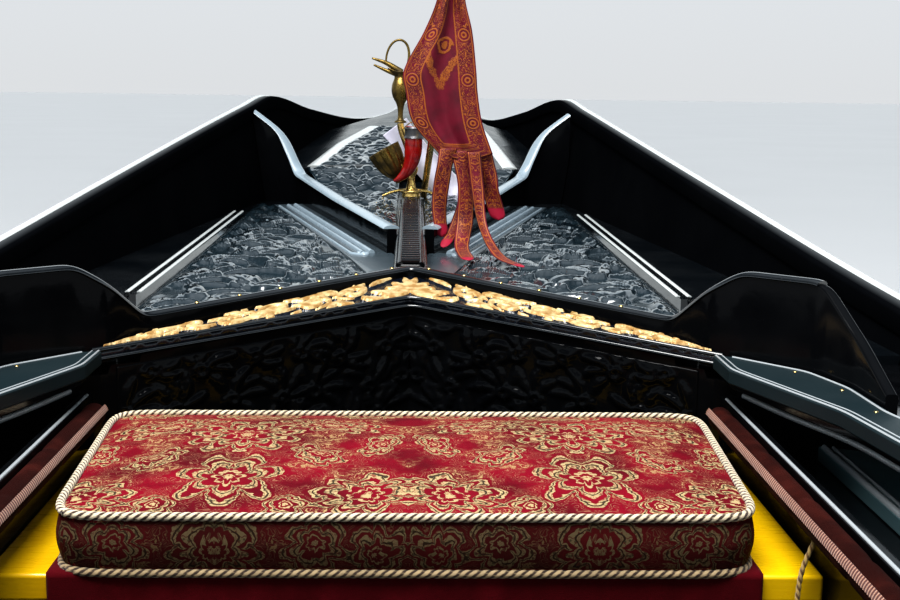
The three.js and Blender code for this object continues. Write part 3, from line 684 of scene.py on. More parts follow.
@dataclass(frozen=True)
class Lacquer(Finish):
    """Many coats of gloss black on wood: deep, faintly wavy, with dust and fine scuffs."""

    colour: Colour = (0.0022, 0.0026, 0.0034)
    dusty: float = 0.2
    rough: float = 0.06
    gloss: float = 0.3
    coat: float = 0.2
    coated: str = ""
    index: float = 1.5

    def dressed(self, dress: Dress) -> bpy.types.Material:
        """Broad smears change the roughness, specks of dust lift the colour, a slow wave bends the gloss.

        Args:
            dress: The material in the making.

        Returns:
            The finished material.
        """
        spot = dress.spot()
        smear = dress.noise(spot, 5.0, 4.0, 0.6).step(0.35, 0.75)
        grain = dress.noise(dress.stretched(spot, (1, 0.25, 1)), 90.0, 3.0)
        specks = dress.cells(spot, 260.0).step(0.16, 0.05) * dress.noise(spot, 22.0, 2.0).step(0.5, 0.66)
        dust = (specks + smear * 0.25) * self.dusty
        base = dress.mix(dust, self.colour, (0.16, 0.17, 0.18))
        rough = self.rough + smear * 0.09 + grain * 0.05 + specks * (0.3 * self.dusty)
        wave = dress.noise(spot, 14.0, 1.0) * 0.9 + grain * 0.05
        coat = dress.mark(self.coated) * self.coat if self.coated else self.coat
        return dress.settle(
            Base_Color=base, Roughness=rough, Normal=dress.bump(wave, 0.0016),
            Coat_Weight=coat, Coat_Roughness=0.03, Coat_IOR=self.index, Specular_IOR_Level=self.gloss)


@dataclass(frozen=True)
class Gilt(Finish):
    """Gold leaf on carving, rubbed back to black lacquer in the hollows."""

    def dressed(self, dress: Dress) -> bpy.types.Material:
        """The mesh's mark raised, broken by fine noise, chooses between leaf and lacquer.

        Args:
            dress: The material in the making.

        Returns:
            The finished material.
        """
        spot = dress.spot()
        worn = dress.noise(spot, 160.0, 4.0, 0.65)
        leaf = (dress.mark("raised") + worn * 0.3 - 0.15).step(0.40, 0.56)
        tint = dress.noise(spot, 70.0, 4.0).step(0.34, 0.66)
        gold = dress.mix(tint, (0.40, 0.215, 0.06), (0.74, 0.56, 0.28))
        ground = dress.mix(worn.step(0.5, 0.8), (0.004, 0.006, 0.012), (0.02, 0.03, 0.05))
        return dress.settle(
            Base_Color=dress.mix(leaf, ground, gold), Metallic=leaf * 0.3,
            Roughness=0.14 + leaf * (0.2 + worn * 0.25), Normal=dress.bump(worn, 0.0006),
            Coat_Weight=0.15)


@dataclass(frozen=True)
class Metal(Finish):
    """Polished metal with cloudy tarnish and fine rubbing marks."""

    colour: Colour = (0.75, 0.53, 0.2)
    tarnish: Colour = (0.12, 0.07, 0.025)
    share: float = 0.45
    rough: float = 0.16

    def dressed(self, dress: Dress) -> bpy.types.Material:
        """Cloudy tarnish mixes the colour and dulls the metal, stretched noise leaves rubbing marks.

        Args:
            dress: The material in the making.

        Returns:
            The finished material.
        """
        spot = dress.spot()
        cloud = dress.noise(spot, 30.0, 5.0, 0.62).step(0.62 - 0.3 * self.share, 0.9 - 0.25 * self.share)
        rub = dress.noise(dress.stretched(spot, (1, 1, 7)), 180.0, 2.0)
        return dress.settle(
            Base_Color=dress.mix(cloud * 0.9, self.colour, self.tarnish), Metallic=1.0 - cloud * 0.35,
            Roughness=self.rough + cloud * 0.3 + rub * 0.12, Normal=dress.bump(rub + cloud, 0.0003))


@dataclass(frozen=True)
class Paint(Finish):
    """Brushed gloss paint with a few scattered dark chips."""

    colour: Colour = (0.88, 0.55, 0.003)
    shade: Colour = (0.74, 0.42, 0.003)

    def dressed(self, dress: Dress) -> bpy.types.Material:
        """Brush marks run along X, clouds vary the colour, and a few dark chips break it.

        Args:
            dress: The material in the making.

        Returns:
            The finished material.
        """
        spot = dress.spot()
        brush = dress.noise(dress.stretched(spot, (0.08, 1, 1)), 220.0, 3.0)
        cloud = dress.noise(spot, 7.0, 3.0)
        chips = dress.cells(spot, 24.0).step(0.085, 0.05) * dress.noise(spot, 9.0).step(0.52, 0.6)
        base = dress.mix(cloud.step(0.3, 0.75), self.colour, self.shade)
        base = dress.mix(chips, base, (0.012, 0.01, 0.008))
        return dress.settle(
            Base_Color=base, Roughness=0.24 + brush * 0.08 + chips * 0.4,
            Normal=dress.bump(brush * 0.4 - chips * 2.0, 0.0003), Coat_Weight=0.25, Coat_Roughness=0.1)


@dataclass(frozen=True)
class Tar(Finish):
    """Dull tarred planking."""

    colour: Colour = (0.012, 0.012, 0.012)

    def dressed(self, dress: Dress) -> bpy.types.Material:
        """Long grain and patches vary the colour, the roughness and the surface.

        Args:
            dress: The material in the making.

        Returns:
            The finished material.
        """
        spot = dress.spot()
        grain = dress.noise(dress.stretched(spot, (1, 0.06, 1)), 120.0, 4.0)
        patch = dress.noise(spot, 6.0, 4.0)
        base = dress.mix(patch.step(0.3, 0.8), self.colour, (0.035, 0.033, 0.03))
        return dress.settle(Base_Color=base, Roughness=0.35 + grain * 0.3 + patch * 0.15,
                            Normal=dress.bump(grain, 0.001))


@dataclass(frozen=True)
class Walnut(Finish):
    """Oiled walnut with grain along one direction."""

    stretch: tuple[float, float, float] = (1, 0.1, 1)
    light: Colour = (0.25, 0.115, 0.042)
    dark: Colour = (0.135, 0.056, 0.020)

    def dressed(self, dress: Dress) -> bpy.types.Material:
        """Bent rings of noise give the figure, fine streaks the pores.

        Args:
            dress: The material in the making.

        Returns:
            The finished material.
        """
        spot = dress.stretched(dress.spot(), self.stretch)
        figure = (dress.noise(spot, 20.0, 3.0, 0.55, 0.4) * 14.0).folded(1.0)
        pores = dress.noise(spot, 420.0, 2.0)
        base = dress.mix(figure.step(0.05, 0.95), self.light, self.dark)
        base = dress.mix(pores.step(0.62, 0.72) * 0.6, base, (0.03, 0.012, 0.005))
        return dress.settle(Base_Color=base, Roughness=0.26 + figure * 0.12 + pores * 0.1,
                            Normal=dress.bump(pores - figure * 0.3, 0.0004), Coat_Weight=0.2)


@dataclass(frozen=True)
class Flower:
    """A lobed flower of the damask: distance from the axis, place along it, half sizes, lobes and tilt."""

    across: float
    up: float
    wide: float
    high: float
    lobes: float
    tilt: float = 0.0
    depth: float = 0.3


@dataclass(frozen=True)
class Damask(Finish):
    """Crimson damask with a mirrored repeat of palmettes and leaves in cream and sage on fine curls."""

    repeat: float = 0.178
    ground: Colour = (0.225, 0.0006, 0.014)
    shade: Colour = (0.09, 0.0004, 0.006)
    cream: Colour = (0.46, 0.35, 0.18)
    sage: Colour = (0.11, 0.11, 0.05)
    flowers: tuple[Flower, ...] = (
        Flower(0.0, 0.250, 0.062, 0.070, 11.0, depth=0.4), Flower(0.0, 0.098, 0.052, 0.066, 7.0, depth=0.5),
        Flower(0.090, 0.296, 0.064, 0.034, 9.0, -0.5, 0.42),
        Flower(0.138, 0.056, 0.058, 0.042, 9.0, 0.35, 0.42),
        Flower(0.084, 0.165, 0.022, 0.044, 6.0, 0.6), Flower(0.150, 0.200, 0.022, 0.050, 7.0, -0.3),
        Flower(0.0, 0.372, 0.055, 0.040, 8.0), Flower(0.132, 0.375, 0.040, 0.032, 7.0, 0.4),
        Flower(0.062, 0.030, 0.026, 0.024, 5.0, 0.5), Flower(0.0, -0.431, 0.046, 0.040, 10.0),
        Flower(0.092, -0.428, 0.034, 0.030, 7.0, 0.5), Flower(0.150, -0.433, 0.030, 0.036, 8.0, -0.4),
    )

    def dressed(self, dress: Dress) -> bpy.types.Material:
        """The chart is folded at each repeat, so that a motif stands mirrored about its axis.

        Every flower gives the distance from its middle as a share of its lobed rim, and the least
        of them picks a band of colour, so that rims, petals and hearts nest. Outside the flowers,
        thin bands of equal height of a bent noise draw curls, and broader ones small leaves.

        Args:
            dress: The material in the making.

        Returns:
            The finished material.
        """
        u, v, _ = dress.parts(dress.chart())
        across = self.repeat - u.folded(self.repeat)
        place = dress.vector(across, v)
        x = across + (dress.noise(place, 34.0, 3.0) - 0.5) * 0.030
        y = v + (dress.noise(dress.vector(v, across, 0.3), 34.0, 3.0) - 0.5) * 0.034
        share = self._rim(x, y, self.flowers[0])
        for flower in self.flowers[1:]:
            share = share.least(self._rim(x, y, flower))
        curl = (dress.noise(place, 42.0, 1.5, 0.5, 1.6) * 8.0).folded(0.5)
        leaf = (dress.noise(dress.vector(x, y), 62.0, 1.0, 0.5, 1.0) * 5.0).folded(0.5).step(0.33, 0.37)
        outside = share.step(0.99, 1.01)
        patch = dress.noise(place, 17.0, 1.0).step(0.49, 0.56)
        lace = (dress.noise(dress.vector(x, y, 0.7), 150.0, 1.5, 0.5, 1.0) * 5.0).folded(0.5).step(0.10, 0.16)
        lines = curl.step(0.085, 0.05).most(curl.step(0.43, 0.465)) * outside
        leaves = leaf * outside * patch
        shade = dress.noise(dress.chart(), 11.0, 2.0)
        nap = dress.noise(dress.chart(), 1000.0, 2.0)
        red = dress.mix(shade.step(0.32, 0.72), self.ground, self.shade)
        beads = dress.cells(place, 230.0).step(0.45, 0.28)
        pale = dress.mix(beads * share.step(0.2, 0.4) * 0.85, self.cream, self.sage)
        dark = (0.05, 0.035, 0.02)
        stops = [
            (0.0, 1.0), (0.10, 0.0), (0.20, 1.0), (0.27, 0.0), (0.43, 1.0), (0.50, 0.5), (0.54, 1.0),
            (0.63, 0.0), (0.75, 1.0), (0.81, 0.5), (0.85, 1.0), (0.91, 0.0)]
        level = dress.node(
            "ShaderNodeValToRGB", {"interpolation": "CONSTANT", "stops": [(p, (k, k, k)) for p, k in stops]},
            {"Fac": share})
        cream = level.step(0.7, 0.72) * (1 - outside)
        edge = level.step(0.3, 0.32) * level.step(0.7, 0.68) * (1 - outside)
        base = dress.mix(lines * patch.most(share.step(1.5, 1.2)) * 0.5, red, (0.42, 0.25, 0.14))
        base = dress.mix(leaves * lace * 0.85, base, (0.46, 0.32, 0.15))
        base = dress.mix(cream * (lace * 0.75 + 0.25), base, pale)
        base = dress.mix(edge, base, dark)
        base = dress.mix(nap.step(0.45, 0.85) * 0.45, base, (0.02, 0.003, 0.004))
        # Painted shade: the side faces, whose chart lies below -0.21, are darkened towards near-black brown.
        base = dress.mix(v.step(-0.2, -0.21) * 0.76, base, (0.016, 0.005, 0.002))
        weave = (u * (TURN / 0.0011)).sine() * (v * (TURN / 0.0011)).sine()
        height = cream * 0.5 + leaves * 0.4 + lines * 0.3 + weave * 0.12 + nap * 0.4
        return dress.settle(
            Base_Color=base, Roughness=0.84 - cream * 0.1, Normal=dress.bump(height, 0.0008),
            Specular_IOR_Level=0.12)

    @staticmethod
    def _rim(x: Value, y: Value, flower: Flower) -> Value:
        """Distance from a flower's middle as a share of its rim.

        The place is turned by the tilt and divided by the half sizes. The rim's radius is 1 plus
        the depth times the size of the sine of half the lobes' angle, less 0.6.

        Args:
            x: Distance from the axis.
            y: Place along it.
            flower: The flower.

        Returns:
            0 in the middle, 1 on the rim.
        """
        right, rise = x - flower.across, y - flower.up
        if flower.tilt:
            c, s = math.cos(flower.tilt), math.sin(flower.tilt)
            right, rise = right * c + rise * s, rise * c - right * s
        right, rise = right / flower.wide, rise / flower.high
        far = (right * right + rise * rise) ** 0.5
        wave = (right.angle(rise) * (flower.lobes * 0.5)).sine().size()
        return far / (wave * flower.depth + (1 - 0.6 * flower.depth))


@dataclass(frozen=True)
class Rope(Finish):
    """Twisted cord whose strands are pale on their backs, with painted shade darkening the grooves between
    them.
    """

    back: Colour = (0.72, 0.62, 0.47)
    # Painted shade: the dark colour of the grooves between strands.
    groove: Colour = (0.13, 0.06, 0.03)

    def dressed(self, dress: Dress) -> bpy.types.Material:
        """The mesh's mark groove picks between the back's colour and the groove's painted shade, and fine
        fibres roughen it.

        Args:
            dress: The material in the making.

        Returns:
            The finished material.
        """
        fibre = dress.noise(dress.spot(), 1400.0, 2.0)
        shade = dress.noise(dress.spot(), 25.0, 2.0)
        depth = dress.mark("groove").step(0.5, 0.85)
        back = dress.mix(shade.step(0.3, 0.8), self.back, tuple(0.72 * c for c in self.back))
        base = dress.mix(depth, self.groove, back)
        return dress.settle(Base_Color=base, Roughness=0.62 + fibre * 0.2,
                            Normal=dress.bump(fibre, 0.0006), Sheen_Weight=0.3, Specular_IOR_Level=0.35)


@dataclass(frozen=True)
class Cloth(Finish):
    """Plain cloth or pile: a soft colour that pales where it is rubbed."""

    colour: Colour = (0.15, 0.012, 0.014)
    worn: Colour = (0.28, 0.06, 0.05)
    pile: float = 0.0008
    sheen: float = 0.5

    def dressed(self, dress: Dress) -> bpy.types.Material:
        """Clouds of wear mix two colours, and a fine nap roughens the surface.

        Args:
            dress: The material in the making.

        Returns:
            The finished material.
        """
        spot = dress.spot()
        wear = dress.noise(spot, 18.0, 4.0, 0.6).step(0.42, 0.75)
        nap = dress.noise(spot, 900.0, 3.0, 0.7)
        base = dress.mix(wear * 0.8, self.colour, self.worn)
        base = dress.mix(nap.step(0.3, 0.75) * 0.35, base, tuple(0.35 * c for c in self.colour))
        return dress.settle(Base_Color=base, Roughness=0.8 + nap * 0.15, Normal=dress.bump(nap, self.pile),
                            Sheen_Weight=self.sheen, Sheen_Roughness=0.45, Specular_IOR_Level=0.06)


@dataclass(frozen=True)
class Brocade(Finish):
    """Crimson cloth with woven gold borders of scrolls and medallions, and a gold spray in its field."""

    ground: Colour = (0.155, 0.0008, 0.018)
    shade: Colour = (0.075, 0.0006, 0.009)
    gold: Colour = (0.44, 0.15, 0.016)
    border: float = 0.034
    beat: float = 0.085

    def dressed(self, dress: Dress) -> bpy.types.Material:
        """The chart gives metres across and down, the mark hem the distance from the nearest edge.

        Within the border's width gold follows bands of equal height of a fine noise, a ringed
        medallion stands at each beat, and a line closes either side. The mark plain is 1 where
        the tails' tips are bare, and tail is 1 where there are no medallions. The field carries a
        generic bent leaf spray.

        Args:
            dress: The material in the making.

        Returns:
            The finished material.
        """
        u, v, _ = dress.parts(dress.chart())
        hem, plain, tail = dress.mark("hem"), dress.mark("plain"), dress.mark("tail")
        within = (hem - self.border).step(0.0006, -0.0006)
        place = dress.vector(hem, v)
        scroll = (dress.noise(place, 80.0, 1.5, 0.5, 1.6) * 6.0).folded(0.5).step(0.31, 0.36)
        rise = v.folded(self.beat) - self.beat * 0.5
        side = hem - self.border * 0.52
        ring = ((side * side + rise * rise) ** 0.5) / 0.0125 + tail * 9.0
        medal = ring.step(1.02, 0.94) - ring.step(0.80, 0.74) + ring.step(0.52, 0.46) - ring.step(0.24, 0.2)
        outer = (hem - 0.0035).size().step(0.0014, 0.0008)
        lines = outer.most((hem - self.border).size().step(0.0016, 0.001))
        woven = (scroll * ring.step(1.05, 1.2)).most(medal) * within * hem.step(0.005, 0.0065)
        gold = woven.most(lines).most(self._spray(dress, u, v) * (1 - within)) * (1 - plain)
        shade = dress.noise(dress.spot(), 30.0, 2.0)
        nap = dress.noise(dress.chart(), 900.0, 2.0)
        field = dress.mix(shade.step(0.3, 0.8), self.ground, self.shade)
        field = dress.mix(plain, field, (0.34, 0.002, 0.03))
        thread = dress.mix(nap.step(0.3, 0.7), self.gold, (0.26, 0.045, 0.008))
        return dress.settle(
            Base_Color=dress.mix(gold * 0.95, field, thread), Roughness=0.52 + nap * 0.2 - gold * 0.12,
            Normal=dress.bump(gold * 0.6 + nap * 0.4, 0.0007), Sheen_Weight=0.05, Specular_IOR_Level=0.35)

    @staticmethod
    def _spray(dress: Dress, u: Value, v: Value) -> Value:
        """Two leafy stems that meet in a V below a round flower, in metres about the field's middle.

        Args:
            dress: The material in the making.
            u: Metres across.
            v: Metres down.

        Returns:
            1 on the spray and 0 beside it.
        """
        bend = (dress.noise(dress.vector(u, v), 60.0, 2.0) - 0.5) * 0.02
        side, rise = u + bend, v - 0.292
        arm = (side.size() + rise * 0.52 - 0.010).size()
        ragged = (dress.noise(dress.vector(u, v), 190.0, 1.0) * 5.0).folded(0.5).step(0.12, 0.2)
        stems = arm.step(0.0085, 0.006) * rise.step(-0.075, -0.068) * rise.step(0.026, 0.02)
        far = ((side * side + (rise + 0.060) * (rise + 0.060)) ** 0.5) / 0.017
        flower = far.step(1.0, 0.92) - far.step(0.7, 0.64) + far.step(0.48, 0.42)
        return (stems * (0.2 + ragged * 0.8)).most(flower)


@dataclass(frozen=True)
class Linen(Finish):
    """Thin white cloth with a faint violet cast and a few scattered dots."""

    def dressed(self, dress: Dress) -> bpy.types.Material:
        """Cells far apart make the dots, and a weave roughens the surface.

        Args:
            dress: The material in the making.

        Returns:
            The finished material.
        """
        spot = dress.spot()
        dots = dress.cells(spot, 26.0).step(0.09, 0.05)
        cloud = dress.noise(spot, 20.0, 2.0)
        weave = dress.noise(spot, 800.0, 2.0)
        base = dress.mix(cloud, (0.80, 0.80, 0.90), (0.62, 0.60, 0.76))
        base = dress.mix(dots * 0.8, base, (0.25, 0.16, 0.42))
        return dress.settle(
            Base_Color=base, Roughness=0.8, Normal=dress.bump(weave, 0.0004), Sheen_Weight=0.2)


@dataclass(frozen=True)
class Horn(Finish):
    """Smooth red horn."""

    def dressed(self, dress: Dress) -> bpy.types.Material:
        """Slow bands along the piece deepen the red.

        Args:
            dress: The material in the making.

        Returns:
            The finished material.
        """
        spot = dress.spot()
        band = dress.noise(dress.stretched(spot, (1, 1, 3)), 24.0, 3.0)
        base = dress.mix(band.step(0.3, 0.8), (0.30, 0.004, 0.004), (0.13, 0.002, 0.003))
        return dress.settle(Base_Color=base, Roughness=0.16 + band * 0.12, Coat_Weight=0.5,
                            Normal=dress.bump(band, 0.0004))


@dataclass(frozen=True)
class Backdrop(Finish):
    """Plain pale studio floor."""

    def dressed(self, dress: Dress) -> bpy.types.Material:
        """A pale grey with the faintest mottling.

        Args:
            dress: The material in the making.

        Returns:
            The finished material.
        """
        cloud = dress.noise(dress.spot(), 0.6, 2.0)
        base = dress.mix(cloud, (0.56, 0.57, 0.58), (0.61, 0.62, 0.63))
        return dress.settle(Base_Color=base, Roughness=0.55)


LACQUER_SLOT = "black_lacquer"
NIGHT_BLUE = (0.004, 0.006, 0.008)
BLACK = Lacquer("black_gloss", LACQUER_SLOT)
DEEP_BLACK = Lacquer("black_gloss_shaded", LACQUER_SLOT, dusty=0.06, gloss=0.1, coat=0.0)
TOPS = Lacquer("black_gloss_tops", LACQUER_SLOT, NIGHT_BLUE, 0.3, 0.07, 0.6, 0.7)
# Pale grey on black lacquer: painted sky reflection on the gunwale edging, the deck rails' strips and the
# fore deck's strips.
PAINTED_SKY_EDGE = Lacquer("painted_sky_reflection_edge", LACQUER_SLOT, (0.62, 0.66, 0.66), 0.3, 0.2, 0.6, 0.4)
# Blue-grey on black lacquer: painted sky reflection on the far coaming's capping and the border mouldings.
PAINTED_BLUE_SKY_EDGE = Lacquer("painted_blue_sky_reflection_edge", LACQUER_SLOT, (0.30, 0.38, 0.44), 0.4, 0.2, 0.6, 0.3)
# Dark blue-grey on black lacquer: painted sky reflection on the plain deck border.
PAINTED_SKY_BORDER = Lacquer("painted_sky_reflection_border", LACQUER_SLOT, (0.050, 0.070, 0.085), 0.5, 0.24, 0.6, 0.3)
PLAIN_TOPS = Lacquer("black_gloss_decks", LACQUER_SLOT, NIGHT_BLUE, 0.15, 0.16, 0.12, 0.06)
# Its dark blue tint is a faint painted sky reflection on black lacquer.
CARVED = Lacquer(
    "black_gloss_carved", LACQUER_SLOT, (0.009, 0.019, 0.026), 0.3, 0.09, 0.25, 1.0, "raised", 2.1)
# Teal grey on black lacquer: painted skylight on the side shelves, which lie in the caps' shade.
PAINTED_LIGHT_SHELF = Lacquer("black_satin_painted_teal_light", LACQUER_SLOT, (0.085, 0.155, 0.172), 0.3, 0.3, 0.4, 0.1)
PLANKS = Lacquer(
    "black_gloss_planks", LACQUER_SLOT, dusty=0.03, rough=0.2, gloss=0.0, coat=0.8, coated="outside")
# Its dark teal tint is a faint painted sky reflection on the caps' black lacquer.
SATIN = Lacquer("black_satin_tops", LACQUER_SLOT, (0.009, 0.019, 0.023), 0.16, 0.34, 0.11, 0.03)
SILVERED = Lacquer("silvered_edge", "polished_steel", (0.36, 0.39, 0.41), 0.3, 0.2, 0.7, 0.4)
TARRED = Tar("tarred_planks", "tarred_bottom")
DARK_STEEL = Metal("dark_iron", "polished_steel", (0.16, 0.16, 0.17), (0.04, 0.04, 0.04), 0.5, 0.2)
STEEL = Metal("polished_iron", "polished_steel", (0.30, 0.31, 0.33), (0.07, 0.07, 0.07), 0.4, 0.16)
BRASS = Metal("aged_brass", "brass", (0.78, 0.55, 0.2), (0.13, 0.075, 0.025), 0.4, 0.15)
OLIVE_BRASS = Metal("dark_brass", "brass", (0.26, 0.175, 0.05), (0.02, 0.015, 0.007), 0.9, 0.16)
GILT = Gilt("gilded_carving", "gilding")
YELLOW = Paint("yellow_gloss", "yellow_paint")
DAMASK = Damask("crimson_damask", "damask")
# For the piping, cord and braid finishes below, the second colour is painted shade in the grooves between
# strands or ribs.
PIPING = Rope("cream_piping", "damask", (0.80, 0.68, 0.48), (0.035, 0.014, 0.007))
BEIGE_PIPING = Rope("beige_piping", "damask", (0.46, 0.34, 0.19), (0.03, 0.014, 0.007))
GOLD_CORD = Rope("golden_cord", "gold_cord", (0.56, 0.38, 0.13), (0.14, 0.07, 0.02))
DRAPE = Cloth("dark_red_cloth", "dark_red_drape", (0.085, 0.002, 0.006), (0.15, 0.006, 0.012), 0.0006, 0.05)
VELVET = Cloth("brown_red_velvet", "velvet", (0.022, 0.003, 0.002), (0.070, 0.012, 0.008), 0.0012, 0.01)
BRAID = Rope("ribbed_braid", "velvet", (0.50, 0.27, 0.18), (0.09, 0.02, 0.014))
BROCADE = Brocade("gold_bordered_crimson", "crimson_cloth")
LINEN = Linen("white_linen", "white_cloth")
WALNUT = Walnut("oiled_walnut_y", "oiled_walnut")
WALNUT_UP = Walnut("oiled_walnut_z", "oiled_walnut", (1, 1, 0.12))
RED_HORN = Horn("red_horn_gloss", "red_horn")
PALE_FLOOR = Backdrop("pale_floor", "")


# Making pieces


class Edge(Enum):
    """How crisp a piece's corners look, as the least angle in degrees that stays sharp."""

    CRISP = 24
    SOFT = 50
    ROUND = 180


def linked(name: str, data: Any) -> bpy.types.Object:
    """A new object in the scene, made of a mesh, a light or a camera.

    Args:
        name: The object's name.
        data: What it is made of.

    Returns:
        The object.
    """
    made = bpy.data.objects.new(name, data)
    bpy.context.scene.collection.objects.link(made)
    return made


def thickened(piece: bpy.types.Object, thick: float) -> None:
    """Gives a sheet its thickness, half to each side.

    Args:
        piece: The sheet.
        thick: Its thickness.
    """
    modifier = piece.modifiers.new("thickness", "SOLIDIFY")
    modifier.thickness = thick
    modifier.offset = 0.0


@dataclass
class Maker:
    """Turns shapes into pieces that ride on a body, and CAD nodes into softened copies."""

    body: str = "hull"
    merge: float = 1e-6
    node_merge: float = 2e-5
    flat_angle: float = math.radians(0.4)
    bevel_angle: float = math.radians(28)

    def piece(self, name: str, shape: Shape, finish: Finish, stands_for: Sequence[str] = (),
              edge: Edge = Edge.SOFT, turn_out: bool = True) -> bpy.types.Object:
        """Makes one piece of the boat.

        Args:
            name: The piece's own name.
            shape: Its surface.
            finish: Its finish.
            stands_for: CAD nodes that it takes the place of.
            edge: Which of its corners stay sharp.
            turn_out: Whether its faces are turned outwards here, for a closed surface.

        Returns:
            The finished object.
        """
        mesh = bpy.data.meshes.new(name)
        mesh.from_pydata(shape.points.tolist(), [], shape.faces)
        if shape.uv is not None:
            loops = np.zeros(len(mesh.loops), np.int32)
            mesh.loops.foreach_get("vertex_index", loops)
            layer = mesh.uv_layers.new(name="UVMap")
            layer.data.foreach_set("uv", shape.uv[loops].astype(np.float32).ravel())
        for key, values in shape.marks.items():
            mark = mesh.attributes.new(key, "FLOAT", "POINT")
            mark.data.foreach_set("value", values.astype(np.float32))
        work = bmesh.new()
        work.from_mesh(mesh)
        bmesh.ops.remove_doubles(work, verts=work.verts, dist=self.merge)
        if turn_out:
            bmesh.ops.recalc_face_normals(work, faces=work.faces)
        work.to_mesh(mesh)
        work.free()
        return self.finished(name, mesh, finish, stands_for, edge)

    def finished(self, name: str, mesh: bpy.types.Mesh, finish: Finish, stands_for: Sequence[str],
                 edge: Edge) -> bpy.types.Object:
        """Gives a mesh its object, shading, finish and body.

        Args:
            name: The object's name.
            mesh: Its mesh.
            finish: Its finish.
            stands_for: CAD nodes that it takes the place of.
            edge: Which of its corners stay sharp.

        Returns:
            The finished object.
        """
        mesh.shade_smooth()
        if edge is not Edge.ROUND:
            mesh.set_sharp_from_angle(angle=math.radians(edge.value))
        made = linked(name, mesh)
        mesh.materials.append(finish.material())
        if stands_for:
            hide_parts(*stands_for)
        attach(made, self.body)
        LOG.info("%s: %d faces", name, len(mesh.polygons))
        return made

    def softened(self, node: str, finish: Finish, width: float, segments: int) -> None:
        """A copy of a CAD node with its flat faces joined and its edges rounded.

        Args:
            node: The CAD node that the copy takes the place of.
            finish: Its finish.
            width: Width of the rounding.
            segments: Steps across the rounding.
        """
        work = bmesh.new()
        work.from_mesh(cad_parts[node].data)
        bmesh.ops.remove_doubles(work, verts=work.verts, dist=self.node_merge)
        bmesh.ops.dissolve_limit(work, angle_limit=self.flat_angle, verts=work.verts, edges=work.edges)
        mesh = bpy.data.meshes.new(f"{node}_finished")
        work.to_mesh(mesh)
        work.free()
        made = self.finished(f"{node}_finished", mesh, finish, [node], Edge.CRISP)
        bevel = made.modifiers.new("rounding", "BEVEL")
        bevel.width = width
        bevel.segments = segments
        bevel.limit_method = "ANGLE"
        bevel.angle_limit = self.bevel_angle
        bevel.harden_normals = True

    @staticmethod
    def painted(node: str, finish: Finish) -> None:
        """Gives a CAD node that stays as it is a finish.

        Args:
            node: The CAD node.
            finish: Its finish.
        """
        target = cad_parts[node]
        target.data.materials.clear()
        target.data.materials.append(finish.material())


MAKER = Maker()


# The hull's lines


@dataclass(frozen=True)
class Lines:
    """The hull's shape: stations along the length, and a flare between bottom and sheer."""

    stations: tuple[tuple[float, ...], ...] = (
        (-5200, 160, 16, 1330, 14, 1225), (-5020, 139, 62, 1225, 32, 905), (-4600, 98, 150, 1060, 60, 560),
        (-4000, 56, 285, 920, 120, 255), (-3300, 26, 425, 815, 200, 95), (-2600, 10, 545, 750, 285, 22),
        (-1500, 1, 665, 702, 385, 0), (-700, 0, 700, 694, 425, 0), (0, 0, 702, 702, 432, 0),
        (760, 0, 662, 743, 418, 0), (1500, 1, 571, 835, 375, 0), (2000, 3, 507, 900, 320, 8),
        (2450, 8, 440, 962, 270, 22), (2650, 11, 412, 985, 246, 32), (3100, 20, 356, 943, 190, 70),
        (3750, 43, 267, 899, 125, 170), (4400, 82, 177, 905, 70, 390), (4850, 121, 95, 978, 40, 640),
        (5020, 139, 62, 1032, 30, 790), (5200, 160, 14, 1110, 13, 1010),
    )
    flare: float = 0.8
    gunwale_high: float = 0.034
    bottom_thick: float = 0.022
    plank_thick: float = 0.018

    def at(self, y: Array) -> tuple[Array, Array, Array, Array, Array]:
        """Centre, sheer half-breadth, sheer height, bottom half-breadth and bottom height at lengths y."""
        centre, sheer_half, sheer, bottom_half, bottom = (spline(self.stations, y / MM) * MM).T
        return centre, sheer_half, sheer, bottom_half, bottom

    def half(self, y: Array, z: Array) -> Array:
        """Outside half-breadth: from the bottom's to the sheer's by the flare power of the height's share.

        Args:
            y: Lengths.
            z: Heights.

        Returns:
            Half-breadths there.
        """
        _, sheer_half, sheer, bottom_half, bottom = self.at(y)
        share = np.maximum((z - bottom) / (sheer - bottom), 0)
        return bottom_half + (sheer_half - bottom_half) * share ** self.flare

    def height(self, x: Array, y: Array) -> Array:
        """Height at which the planking's inner face stands at x, 4 mm spared: the half-breadth's inverse.

        Args:
            x: Distances to the side.
            y: Lengths.

        Returns:
            Heights there.
        """
        centre, sheer_half, sheer, bottom_half, bottom = self.at(y)
        out = np.abs(x - centre) + self.plank_thick + 0.004
        share = np.maximum((out - bottom_half) / (sheer_half - bottom_half), 0) ** (1 / self.flare)
        return bottom + (sheer - bottom) * share


LINES = Lines()


